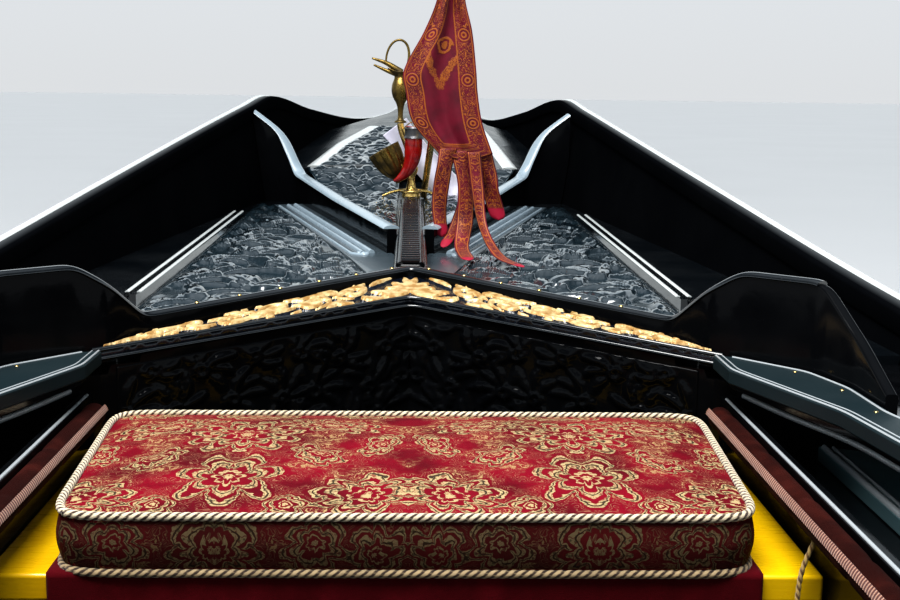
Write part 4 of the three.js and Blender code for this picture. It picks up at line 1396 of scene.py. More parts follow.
@dataclass
class Hull:
    """Planking, gunwales, ends and bottom of the hull, drawn fair along the whole length."""

    plank_end: float = 5.02
    steps: int = 220
    planks: int = 5
    seam: float = 0.003
    seam_step: float = 0.005
    seam_reach: float = 0.0055
    rail_wide: float = 0.044
    rail_in: float = 0.008
    strake_drop: float = 0.085
    board_pitch: float = 0.1
    board_low: float = 0.0705

    def lengths(self) -> Array:
        """Lengths at which the skins are worked out."""
        return np.linspace(-self.plank_end, self.plank_end, self.steps)

    def build(self) -> None:
        """Makes the hull's pieces."""
        y = self.lengths()
        for name, side in SIDES.items():
            MAKER.piece(f"side_planks_{name}", self.planking(y, side), PLANKS, [f"side_planking_{name}"])
            MAKER.piece(f"gunwale_rail_{name}", self.gunwale(y, side), PLANKS, [f"gunwale_{name}"])
            MAKER.piece(f"rubbing_strake_{name}", self.strake(y, side), BLACK)
            MAKER.piece(f"gunwale_edging_{name}", self.edging(y, side), PAINTED_SKY_EDGE)
        MAKER.piece("bottom_planks", self.bottom(y), TARRED, ["bottom_planking"])
        for node in ("stem", "sternpost"):
            MAKER.softened(node, BLACK, 0.004, 3)
        MAKER.painted("frames", TARRED)
        MAKER.piece("floor_planks", self.floor(), TOPS)
        MAKER.painted("floorboards", DEEP_BLACK)

    def planking(self, y: Array, side: int) -> Shape:
        """One side's planks.

        The outer skin stands at the hull's half-breadth, less a groove that falls off as a bell
        about each seam. The inner skin lies one plank's thickness in. The mark outside is 1 on the
        outer skin.

        Args:
            y: Lengths of the sections.
            side: 1 to starboard, -1 to port.

        Returns:
            The closed skin.
        """
        centre, _, sheer, _, bottom = LINES.at(y)
        low = bottom + LINES.bottom_thick
        high = sheer - LINES.gunwale_high
        seams = np.arange(1, self.planks) / self.planks
        beside = seams[:, None] + np.arange(-2, 3) * self.seam_step
        t = np.unique(np.concatenate([np.linspace(0, 1, 11), beside.ravel()]))
        groove = np.exp(-((t[:, None] - seams) / self.seam_reach) ** 2).sum(axis=1) * self.seam
        z = low[:, None] + (high - low)[:, None] * t
        out = np.stack([LINES.half(y, row) for row in z.T], -1) - groove
        across = np.concatenate([out, (out + groove - LINES.plank_thick)[:, ::-1]], axis=1)
        heights = np.concatenate([z, z[:, ::-1]], axis=1)
        lengths = np.repeat(y[:, None], across.shape[1], 1)
        shape = lofted(np.stack([centre[:, None] + side * across, lengths, heights], -1))
        shape.marks["outside"] = np.tile(np.arange(across.shape[1]) < out.shape[1], len(y)).astype(float)
        return shape

    def gunwale(self, y: Array, side: int) -> Shape:
        """A rounded rail, from 30 mm inside the sheer line to 14 mm outside it.

        The mark outside is 1 on its outer half.

        Args:
            y: Lengths of the sections.
            side: 1 to starboard, -1 to port.

        Returns:
            The closed shape.
        """
        centre, half, sheer, _, _ = LINES.at(y)
        section = rounded_section(self.rail_wide, LINES.gunwale_high, 0.006)
        x = centre[:, None] + side * (half[:, None] - self.rail_in + section[:, 0])
        z = (sheer - LINES.gunwale_high)[:, None] + section[:, 1]
        shape = lofted(np.stack([x, np.repeat(y[:, None], len(section), 1), z], -1))
        shape.marks["outside"] = np.tile(section[:, 0] > 0, len(y)).astype(float)
        return shape

    @staticmethod
    def edging(y: Array, side: int) -> Shape:
        """A low half-round strip on the gunwale's outer edge, 15 mm wide.

        Args:
            y: Lengths of the sections.
            side: 1 to starboard, -1 to port.

        Returns:
            The closed shape.
        """
        centre, half, sheer, _, _ = LINES.at(y)
        path = np.stack([centre + side * (half + 0.005), y, sheer - 0.0008], -1)
        return carried(path, bead_section(0.015, 0.0035, 9))

    def strake(self, y: Array, side: int) -> Shape:
        """A half-round moulding along the planking, a hand's breadth below the gunwale.

        Its round side looks to starboard on both sides, so the port one lies in the planking.

        Args:
            y: Lengths of the sections.
            side: 1 to starboard, -1 to port.

        Returns:
            The closed shape.
        """
        centre, _, sheer, _, _ = LINES.at(y)
        z = sheer - self.strake_drop
        x = centre + side * (LINES.half(y, z) - 0.001)
        return carried(np.stack([x, y, z], -1), bead_section(0.016, 0.006)[:, ::-1])

    @staticmethod
    def bottom(y: Array) -> Shape:
        """The flat bottom, as wide as the stations say and one bottom plank thick.

        Args:
            y: Lengths of the sections.

        Returns:
            The closed shape.
        """
        centre, _, _, half, low = LINES.at(y)
        corners = np.array([[-1, 0], [1, 0], [1, 1], [-1, 1]], float)
        x = centre[:, None] + half[:, None] * corners[:, 0]
        z = low[:, None] + LINES.bottom_thick * corners[:, 1]
        return lofted(np.stack([x, np.repeat(y[:, None], 4, 1), z], -1))

    def floor(self) -> Shape:
        """Loose floor planks on the CAD floor, each with rounded edges.

        Returns:
            The planks as one shape.
        """
        section = rounded_section(0.098, 0.008, 0.003)
        boards = []
        for k in range(-3, 4):
            lengths = (-1.6, -0.8, 0.0, 0.80 - 0.115 * abs(k))
            x = k * self.board_pitch
            boards.append(carried(np.array([[x, y, self.board_low] for y in lengths]), section))
        return joined(boards)


# Carving


@dataclass(frozen=True)
class Stroke:
    """One cut leaf or stem: a bent ridge in the panel's plane."""

    line: Array
    width: float
    height: float


@dataclass
class Carving:
    """A panel's carved relief: leaves, stems and volutes laid over a region in one fixed order."""

    seed: int
    height: float = 0.008
    strokes: list[Stroke] = field(default_factory=list)

    def leaf(self, root: Array, heading: float, length: float, bend: float, width: float,
             height: float = 1.0) -> None:
        """Adds a leaf that starts at the root and turns evenly by the bend over its length.

        Args:
            root: Where it starts.
            heading: Direction of its start, as an angle.
            length: Its length.
            bend: Angle that it turns by.
            width: Its greatest half-width.
            height: Height as a share of the carving's.
        """
        t = np.linspace(0, 1, 9)
        angle = heading + bend * t
        steps = np.stack([np.cos(angle), np.sin(angle)], -1)[:-1] * length / (len(t) - 1)
        line = root + np.vstack([[0, 0], np.cumsum(steps, axis=0)])
        self.strokes.append(Stroke(line, width, self.height * height))

    def volute(self, centre: Array, radius: float, hand: float, phase: float, width: float) -> None:
        """Adds a spiral of one and a half turns, its radius falling evenly to a seventh.

        Args:
            centre: Its middle.
            radius: Radius at its start.
            hand: 1 or -1, the way that it turns.
            phase: Angle at its start.
            width: Its greatest half-width.
        """
        t = np.linspace(0, 1, 26)
        angle = phase + hand * TURN * 1.5 * t
        size = radius * (1 - 0.86 * t)
        line = centre + size[:, None] * np.stack([np.cos(angle), np.sin(angle)], -1)
        self.strokes.append(Stroke(line, width, self.height))

    def spray(self, centre: Array, size: float, hand: float, heading: float,
              draw: np.random.Generator) -> None:
        """Adds a volute with leaves that leave it on its outer side, turned by the hand.

        Args:
            centre: Middle of the volute.
            size: Reach of the whole spray.
            hand: 1 or -1, the way that it turns.
            heading: Direction of the longest leaf.
            draw: Source of the small irregularities.
        """
        self.volute(centre, size * 0.26, hand, heading + math.pi * draw.uniform(0.8, 1.2), size * 0.10)
        for k in range(5):
            way = heading + hand * (-1.3 + 0.62 * k) + draw.uniform(-0.2, 0.2)
            root = centre + size * 0.24 * np.array([math.cos(way), math.sin(way)])
            length = size * (1.0 - 0.1 * abs(k - 2)) * draw.uniform(0.8, 1.15)
            self.leaf(root, way, length, hand * draw.uniform(0.5, 1.4), size * 0.15, draw.uniform(0.6, 1.0))

    def fill(self, low: Sequence[float], high: Sequence[float], spacing: float,
             flow: Callable[[float, float], float]) -> "Carving":
        """Covers a box with sprays on a staggered grid, each a little off its place.

        Args:
            low: Lowest corner of the box.
            high: Highest corner of the box.
            spacing: Distance between the sprays.
            flow: Direction of growth at a place, as an angle.

        Returns:
            The carving itself.
        """
        draw = np.random.default_rng(self.seed)
        for i, y in enumerate(np.arange(low[1], high[1], spacing * 0.86)):
            for j, x in enumerate(np.arange(low[0] + (i % 2) * spacing / 2, high[0], spacing)):
                spot = np.array([x, y]) + draw.uniform(-0.16, 0.16, 2) * spacing
                hand = 1.0 if (i + j) % 2 else -1.0
                self.spray(spot, spacing * 0.72, hand, flow(*spot), draw)
        return self

    def relief(self, x: Array, y: Array) -> Array:
        """Height of the carving at points of the panel.

        Along a stroke its width follows the power 0.6 of a half sine, notched four times. Across,
        the height is the square root of 1 less the squared share of the width, less a narrow vein
        on the ridge. Where strokes cross, the highest stands.

        Args:
            x: First numbers of the points, any shape.
            y: Second numbers, in the same shape.

        Returns:
            Heights, in that shape.
        """
        flat = np.stack([x.ravel(), y.ravel()], -1)
        result = np.zeros(len(flat))
        for stroke in self.strokes:
            low, high = stroke.line.min(0) - stroke.width, stroke.line.max(0) + stroke.width
            near = np.flatnonzero(np.all((flat > low) & (flat < high), axis=1))
            if not len(near):
                continue
            points = flat[near]
            a, b = stroke.line[:-1], stroke.line[1:]
            way = b - a
            share = ((points[:, None] - a) * way).sum(-1) / np.maximum((way * way).sum(-1), 1e-12)
            share = np.clip(share, 0, 1)
            gap = np.linalg.norm(points[:, None] - (a + share[..., None] * way), axis=-1)
            nearest = gap.argmin(axis=1)
            row = np.arange(len(points))
            t = (nearest + share[row, nearest]) / len(a)
            wide = stroke.width * np.sin(math.pi * (0.04 + 0.93 * t)) ** 0.6
            wide *= 0.78 + 0.22 * np.abs(np.sin(4 * math.pi * t))
            across = gap[row, nearest] / np.maximum(wide, 1e-6)
            body = np.sqrt(np.maximum(1 - across ** 2, 0))
            body *= 0.55 + 0.45 * np.sin(math.pi * np.clip(t, 0, 1))
            vein = 0.3 * np.exp(-(across / 0.16) ** 2) * (across < 1)
            result[near] = np.maximum(result[near], stroke.height * (body - vein))
        return result.reshape(x.shape)


def blended(first: Array, second: Array, rows: int, columns: int) -> Array:
    """A grid between two lines.

    Args:
        first: Corner points of the line where the second share is 0.
        second: Corner points of the line where it is 1.
        rows: Points along the lines.
        columns: Points from the first line to the second.

    Returns:
        Points of shape (rows, columns, 3 or 2), evenly spaced along and straight across.
    """
    a, b = resampled(first, rows), resampled(second, rows)
    v = np.linspace(0, 1, columns)[None, :, None]
    return a[:, None] * (1 - v) + b[:, None] * v


def border_fade(grid: Array, margin: float) -> Array:
    """1 inside a grid and 0 on its rim, rising over the margin, by distances along its own lines.

    Args:
        grid: Points, as (rows, columns, 2 or 3).
        margin: Distance over which it rises.

    Returns:
        Shares from 0 to 1, as (rows, columns).
    """
    along = np.linalg.norm(np.diff(grid, axis=0), axis=2)
    across = np.linalg.norm(np.diff(grid, axis=1), axis=2)
    a = np.concatenate([np.zeros((1, grid.shape[1])), np.cumsum(along, axis=0)])
    b = np.concatenate([np.zeros((grid.shape[0], 1)), np.cumsum(across, axis=1)], axis=1)
    nearest = np.minimum(np.minimum(a, a[-1] - a), np.minimum(b, b[:, -1:] - b))
    return np.clip(nearest / margin, 0, 1)


def softly_cut(carving: Carving, plan: Array, margin: float) -> Array:
    """Heights of a carving over a plan.

    Every inner point is averaged with its four neighbours, and the whole fades out at the rim.

    Args:
        carving: The carving.
        plan: Places in its plane, as (rows, columns, 2).
        margin: Distance over which it rises from the rim.

    Returns:
        Heights, as (rows, columns).
    """
    height = carving.relief(plan[..., 0], plan[..., 1])
    around = height[:-2, 1:-1] + height[2:, 1:-1] + height[1:-1, :-2] + height[1:-1, 2:]
    height[1:-1, 1:-1] = 0.5 * height[1:-1, 1:-1] + 0.125 * around
    return height * border_fade(plan, margin)


def carved_panel(top: Array, raised: Array, thick: float = 0.003) -> Shape:
    """A carved plate.

    Args:
        top: Points of its upper side, as (rows, columns, 3).
        raised: What the mark raised holds on them: 1 on the carving's backs, 0 in its hollows.
        thick: Thickness at the rim.

    Returns:
        The closed plate.
    """
    shape = panel(top, (0, 0, -thick))
    shape.marks["raised"] = np.append(raised, np.zeros(len(shape.points) - raised.size))
    return shape


# The bow


def deck_height(y: Array | float) -> Array | float:
    """Height of the carved decks: 690 mm at y = 1 m, rising 2 in 100 towards the bow."""
    return 0.690 + 0.02 * (y - 1.0)


@dataclass
class Bow:
    """Everything between the cockpit and the stem: carved decks, coamings, band, spine and fore deck."""

    near: Array = field(default_factory=lambda: mm([
        [0, 1018, 744], [350, 724, 719], [384, 672, 768], [416, 645, 793], [490, 550, 796],
        [508, 470, 745], [512, 380, 703]]))
    far: Array = field(default_factory=lambda: mm([
        [36, 1500, 752], [160, 1950, 766], [284, 2390, 790], [334, 2432, 894], [408, 2446, 948]]))
    near_thick: float = 0.014
    far_thick: float = 0.018
    clear: float = 0.0006
    raised: float = 0.003
    band_depth: tuple[tuple[float, ...], ...] = ((0, 0.2, 0.40, 0.4668), (0.107, 0.086, 0.054, 0.024))

    def build(self) -> None:
        """Makes the bow's pieces."""
        for node in ("apex_deck", "fore_deck"):
            MAKER.softened(node, PLAIN_TOPS, 0.003, 2)
        for name, side in SIDES.items():
            MAKER.painted(f"carved_deck_{name}", TOPS)
            relief = self.deck_relief(side)
            MAKER.piece(f"deck_carving_{name}", relief, CARVED, edge=Edge.ROUND)
            far = self.far_coaming(side)
            MAKER.piece(f"far_coaming_board_{name}", far, DEEP_BLACK, [f"far_coaming_{name}"])
            MAKER.piece(f"far_coaming_capping_{name}", self.far_capping(side), PAINTED_BLUE_SKY_EDGE)
            MAKER.piece(f"deck_border_{name}", self.deck_border(side), PAINTED_SKY_BORDER)
            MAKER.piece(f"border_mouldings_{name}", self.border_beads(side), PAINTED_BLUE_SKY_EDGE)
            MAKER.piece(f"deck_rail_edging_{name}", self.rail_edging(side), PAINTED_SKY_EDGE)
        MAKER.piece("near_coaming_board", self.near_coaming(), DEEP_BLACK, ["near_coaming"])
        MAKER.piece("near_coaming_capping", self.near_capping(), TOPS)
        MAKER.piece("coaming_rivets", self.rivets(), BRASS)
        MAKER.piece("gilded_scrollwork", self.band(), GILT, ["gilded_band"], edge=Edge.ROUND)
        MAKER.piece("band_moulding", self.band_moulding(), TOPS)
        MAKER.painted("carved_bulkhead", DEEP_BLACK)
        MAKER.piece("bulkhead_carving", self.bulkhead_relief(), DEEP_BLACK, edge=Edge.ROUND)
        MAKER.softened("deck_spine", BLACK, 0.003, 2)
        MAKER.piece("spine_rope_mouldings", self.spine_ropes(), BLACK)
        MAKER.piece("fore_deck_carving", self.fore_relief(), CARVED, edge=Edge.ROUND)
        MAKER.piece("apex_deck_carving", self.apex_relief(), CARVED, edge=Edge.ROUND)
        MAKER.piece("fore_deck_strips", self.fore_strips(), PAINTED_SKY_EDGE)

    def deck_relief(self, side: int) -> Shape:
        """The carved leaf work between the near coaming, the spine, the far coaming and the rails.

        Args:
            side: 1 to starboard, -1 to port.

        Returns:
            The carved plate.
        """
        near = mm([[42, 1016], [345, 748], [404, 766]])
        far = mm([[44, 1110], [112, 1440], [336, 2290], [388, 2350]])
        plan = blended(near, far, 100, 270)
        carving = Carving(11 if side > 0 else 12, 0.013).fill(
            (0.0, 0.7), (0.45, 2.45), 0.128, lambda x, y: 2.6 - 0.9 * (y - 0.7) + 1.2 * x)
        height = softly_cut(carving, plan, 0.03)
        z = deck_height(plan[..., 1]) + self.clear + height
        return self.leafy(np.dstack([side * plan[..., 0], plan[..., 1], z]), height)

    def leafy(self, top: Array, height: Array) -> Shape:
        """A carved plate whose leaves count as raised where they stand as high as the raised size."""
        return carved_panel(top, np.clip(height / self.raised, 0, 1))

    def far_line(self, side: int) -> Array:
        """The far coaming's line with eased corners: side, length and top height."""
        return eased(self.far, 0.006, 0.05) * [side, 1, 1]

    def far_coaming(self, side: int) -> Shape:
        """The far coaming: a board on the deck, its foot cut to the planking, its top on the eased line."""
        return self.board(self.far_line(side), lambda line: np.maximum(
            deck_height(line[:, 1]) + 0.0003, LINES.height(line[:, 0], line[:, 1])), self.far_thick)

    def far_capping(self, side: int) -> Shape:
        """Half-round capping of the far coaming."""
        return carried(self.far_line(side) - [0, 0, 0.001], bead_section(0.032, 0.007))

    @staticmethod
    def deck_border(side: int) -> Shape:
        """Plain plate between the carved leaf work, the spine and the far coaming's foot, 5 mm thick.

        Args:
            side: 1 to starboard, -1 to port.

        Returns:
            The closed shape.
        """
        plan = blended(
            mm([[30, 1034], [30, 1478], [272, 2325]]), mm([[42, 1120], [114, 1446], [340, 2300]]), 90, 6)
        top = np.dstack([side * plan[..., 0], plan[..., 1], deck_height(plan[..., 1]) + 0.005])
        return panel(top, (0, 0, -0.0047))

    @staticmethod
    def border_beads(side: int) -> Shape:
        """Three mouldings on the border plate along the far coaming's foot; the last ends in a hook.

        Args:
            side: 1 to starboard, -1 to port.

        Returns:
            The three mouldings.
        """
        beads = []
        for offset, wide in ((0.018, 0.012), (0.036, 0.010), (0.058, 0.006)):
            plan = mm([[56, 1500], [268, 2280]]) + [0.96 * offset, -0.27 * offset]
            if wide < 0.008:
                hook = plan[0] + [[-0.012, 0.010], [-0.034, 0.004], [-0.030, -0.018]]
                plan = np.vstack([hook, plan])
            plan = eased(plan, 0.006, 0.02)
            path = np.column_stack([side * plan[:, 0], plan[:, 1], deck_height(plan[:, 1]) + 0.0048])
            beads.append(carried(path, bead_section(wide, wide * 0.6)))
        return joined(beads)

    @staticmethod
    def rail_edging(side: int) -> Shape:
        """Half-round strips on the carved deck's two outer rails, painted pale as a reflection of bright sky.

        Args:
            side: 1 to starboard, -1 to port.

        Returns:
            Both strips.
        """
        y = np.linspace(1.03, 2.10, 60)
        x = 0.416 - 0.022 * (y - 1.01) / 1.11
        section = bead_section(0.007, 0.0022)
        return joined([
            carried(np.stack([side * (x + outward), y, deck_height(y) + 0.0105], -1), section)
            for outward in (0.0, 0.018)])

    @staticmethod
    def board(line: Array, foot: Callable[[Array], Array], thick: float) -> Shape:
        """An upright board under a line.

        The section at each point is a rectangle as high as the line above its foot, its two top
        corners rounded by a quarter of the thickness.

        Args:
            line: Points of the board's top, in the middle of its thickness.
            foot: Gives the heights of the board's underside.
            thick: Thickness.

        Returns:
            The closed board.
        """
        low = foot(line)
        high = line[:, 2] - low
        r = thick / 4
        a = np.linspace(0, math.pi / 2, 4)
        right = np.stack([thick / 2 - r + r * np.cos(a), -r + r * np.sin(a)], -1)
        left = np.stack([-thick / 2 + r - r * np.sin(a), -r + r * np.cos(a)], -1)
        upper = np.vstack([right, left])
        section = np.zeros((len(line), len(upper) + 2, 2))
        section[:, 0] = [-thick / 2, 0]
        section[:, 1] = [thick / 2, 0]
        section[:, 2:] = upper
        section[:, 2:, 1] += high[:, None]
        base = np.column_stack([line[:, :2], low])
        travel = unit(np.gradient(line[:, :2], axis=0))
        across = np.column_stack([travel[:, 1], -travel[:, 0], np.zeros(len(line))])
        rings = base[:, None] + across[:, None] * section[..., :1]
        rings[..., 2] += section[..., 1]
        return lofted(rings)

    def near_line(self) -> Array:
        """The near coaming's line from port to starboard, with eased corners.

        Returns:
            Points of the board's top, in the middle of its thickness.
        """
        half = self.near
        both = np.vstack([half[:0:-1] * [-1, 1, 1], half])
        return eased(both, 0.004, 0.028)

    def near_coaming(self) -> Shape:
        """The near coaming: its foot stands on the carved decks, and past 372 mm out on the side decks.

        Returns:
            The board.
        """
        def foot(line: Array) -> Array:
            return np.where(np.abs(line[:, 0]) < 0.372, deck_height(line[:, 1]), 0.672) + 0.0003
        return self.board(self.near_line(), foot, self.near_thick)

    def near_capping(self) -> Shape:
        """A half-round capping on the near coaming, forward of its ends."""
        line = self.near_line()
        return carried(line[line[:, 1] > 0.552] - [0, 0, 0.001], bead_section(0.018, 0.0055, 9))

    def rivets(self) -> Shape:
        """Small brass-headed pins along the near coaming's capping.

        Returns:
            The pins.
        """
        line = self.near_line()
        flat = line[np.abs(line[:, 0]) < 0.34]
        return studs(resampled(flat, 14)[1:-1] + [0, 0, 0.0046], 0.0032, 0.0016)

    @staticmethod
    def band_height(x: Array, y: Array) -> Array:
        """Top of the gilded band: falls from the centre to the sides and rises 15 in 100 forward.

        Args:
            x: Distances to the side.
            y: Lengths.

        Returns:
            Heights there.
        """
        across = np.abs(x) / 0.394
        front = 0.900 - 0.250 * across
        return 0.7195 - 0.031 * across + 0.15 * np.maximum(y - front, 0)

    def band(self) -> Shape:
        """The gilded band: flat-topped leaf scrolls, mirrored about the middle, with a shell as crest.

        The relief is worked out for the starboard half, in distance along the band and distance
        across it, and read at the size of x, so both halves match.

        Returns:
            The carved plate.
        """
        front = mm([[-394, 650], [0, 900], [394, 650]])
        back = mm([[-376, 664], [-337, 721.5], [-172, 862], [0, 1007], [172, 862], [337, 721.5], [376, 664]])
        plan = blended(front, back, 440, 60)
        along = np.abs(plan[..., 0]) / 0.844
        across = np.broadcast_to(np.linspace(0, 1, 60), along.shape)
        carving = Carving(5, 1.0)
        draw = np.random.default_rng(carving.seed)
        for k, start in enumerate((0.436, 0.392, 0.340, 0.282, 0.222, 0.158, 0.096)):
            deep = float(np.interp(start, *self.band_depth))
            middle = np.array([start, (0.5 + 0.1 * (-1) ** k) * deep])
            carving.volute(middle, 0.30 * deep, (-1) ** k, draw.uniform(0, TURN), 0.075 * deep)
            for leaf in range(7):
                way = draw.uniform(-0.4, 0.4) + leaf * TURN / 7
                root = middle + 0.34 * deep * np.array([math.cos(way), math.sin(way)])
                long = (0.34 + 0.42 * abs(math.cos(way))) * deep * draw.uniform(0.7, 1.1)
                carving.leaf(root, way + draw.uniform(-0.3, 0.3), long, draw.uniform(-1.5, 1.5), 0.085 * deep)
        for k in range(6):
            carving.leaf(np.array([0.0, 0.016]), math.pi / 2 - 0.34 * k, 0.072 - 0.007 * k, -0.4, 0.0080)
            carving.leaf(np.array([0.004, 0.010]), math.pi / 2 - 0.17 - 0.34 * k, 0.030, 0.3, 0.0040)
        depth = across * np.interp(along[:, :1], *self.band_depth)
        cut = np.clip(carving.relief(along, depth) * 2.2, 0, 1) * border_fade(plan, 0.004)
        z = self.band_height(plan[..., 0], plan[..., 1]) - 0.002 + 0.0065 * cut
        return carved_panel(np.dstack([plan, z]), cut, 0.0115)

    @staticmethod
    def band_moulding() -> Shape:
        """Two thin mouldings along the band's front edge, one above the other.

        Returns:
            Both mouldings.
        """
        line = eased(mm([[-396, 648, 688], [0, 899, 719], [396, 648, 688]]), 0.006, 0.03)
        broad = carried(line - [0, -0.003, 0.001], bead_section(0.008, 0.004))
        narrow = carried(line - [0, 0.001, 0.012], bead_section(0.006, 0.003))
        return broad + narrow

    def bulkhead_relief(self) -> Shape:
        """Black scroll work on the bulkhead's after face, above and beside the cushion.

        Returns:
            The carved plate.
        """
        across = np.linspace(-0.37, 0.37, 264)
        slope = (0.911 - 0.6913) / 0.346
        front = 0.911 - slope * np.abs(across)
        top = self.band_height(across, front) - 0.028
        share = np.linspace(0, 1, 84)
        z = 0.44 * (1 - share) + top[:, None] * share
        x = np.repeat(across[:, None], len(share), 1)
        carving = Carving(21, 0.006).fill((-0.02, 0.45), (0.38, 0.71), 0.058, lambda x, z: 0.5 + 3.0 * z)
        height = carving.relief(np.abs(x), z) * border_fade(np.stack([x, z], -1), 0.012)
        lean = math.hypot(1.0, slope)
        y = front[:, None] - 0.008 * lean - self.clear - height / lean
        x = x - np.sign(x) * height * slope / lean
        return panel(np.stack([x, y, z], -1), (0, 0.003, 0))

    def spine_ropes(self) -> Shape:
        """Rope mouldings along the spine's edges and cross ribs between them.

        The ribs stand as high as the square root of the size of a sine, one every 26 mm.

        Returns:
            The ropes and ribs.
        """
        y = np.arange(1.034, 2.06, 0.003)
        ropes = []
        for x, drop, radius, pitch in ((0.0165, 0.002, 0.0062, 0.036), (0.0235, 0.014, 0.004, 0.024)):
            for side in (1, -1):
                path = np.stack([np.full_like(y, side * x), y, self.spine_top(y) - drop], -1)
                rope = twisted(path, radius, pitch)
                ropes.append(Shape(rope.points, rope.faces))
        along = np.arange(1.034, 2.06, 0.002)
        ribs = 0.009 * np.sqrt(np.abs(np.sin(along * math.pi / 0.026)))
        high = self.spine_top(along) - 0.002 + ribs
        across = np.linspace(-0.014, 0.014, 5)
        grid = np.stack(np.broadcast_arrays(across, along[:, None], high[:, None]), -1)
        return joined(ropes + [panel(grid, (0, 0, -0.003))])

    @staticmethod
    def spine_top(y: Array) -> Array:
        """Height of the spine's top: 748 mm at y = 1.03 m, 760 mm at y = 2.12 m, evenly between."""
        return 0.748 + (0.760 - 0.748) * (y - 1.030) / 1.09

    def fore_relief(self) -> Shape:
        """Carved leaf work on the port half of the fore deck's ridge panel.

        Returns:
            The carved plate.
        """
        first = mm([[-245, 2475], [-190, 2900], [-110, 3300]])
        second = mm([[-20, 2475], [0, 2900], [20, 3300]])
        plan = blended(first, second, 120, 50)
        carving = Carving(31, 0.010).fill((-0.25, 2.46), (0.03, 3.3), 0.10, lambda x, y: 1.2 + x)
        height = softly_cut(carving, plan, 0.02)
        z = self.fore_height(plan[..., 0], plan[..., 1]) + 0.0008 + height
        return self.leafy(np.dstack([plan, z]), height)

    @staticmethod
    def fore_height(x: Array, y: Array) -> Array:
        """Height of the fore deck's ridge panel: rises evenly forward, with a low ridge in its middle.

        Args:
            x: Distances to the side.
            y: Lengths.

        Returns:
            Heights there.
        """
        t = (y - 2.4553) / (5.2 - 2.4553)
        left = -0.262 + (0.160 + 0.262) * t
        right = 0.272 + (0.160 - 0.272) * t
        middle = 0.5 * (left + right)
        ridge = np.where(x < middle, (x - left) / (middle - left), (right - x) / (right - middle))
        return 0.806 + (1.060 - 0.806) * t + 0.006 * ridge

    def apex_relief(self) -> Shape:
        """Carved leaf work on the apex deck, port and starboard, that climbs to the fore deck's edge.

        Returns:
            Both carved plates.
        """
        outer = mm([[42, 1600], [146, 1975], [262, 2400], [270, 2452]])
        plan = blended(mm([[30, 1600], [30, 2452]]), outer, 130, 46)
        y = plan[..., 1]
        climb = np.clip((y - 2.13) / 0.322, 0, 1)
        base = 0.722 + 0.048 * (y - 1.540) / 0.915 + 0.036 * climb * climb * (3 - 2 * climb)
        sides = []
        for side in (-1, 1):
            carving = Carving(41 + side, 0.012).fill((0.0, 1.6), (0.3, 2.46), 0.10, lambda x, y: 1.4 - x)
            height = softly_cut(carving, plan, 0.02)
            sides.append(self.leafy(np.dstack([side * plan[..., 0], y, base + 0.0008 + height]), height))
        return joined(sides)

    def fore_strips(self) -> Shape:
        """Flat strips along both edges of the fore deck's carved panel, painted bright as a reflection of the
        sky.

        Returns:
            Both strips.
        """
        strips = []
        for corners in ([[-252, 2462], [-200, 2900], [-122, 3300]], [[258, 2462], [236, 2900], [212, 3300]]):
            plan = eased(mm(corners), 0.02, 0.05)
            line = np.column_stack([plan, self.fore_height(plan[:, 0], plan[:, 1]) - 0.0005])
            strips.append(carried(line, bead_section(0.040, 0.004, 9)))
        return joined(strips)


# The cockpit's sides


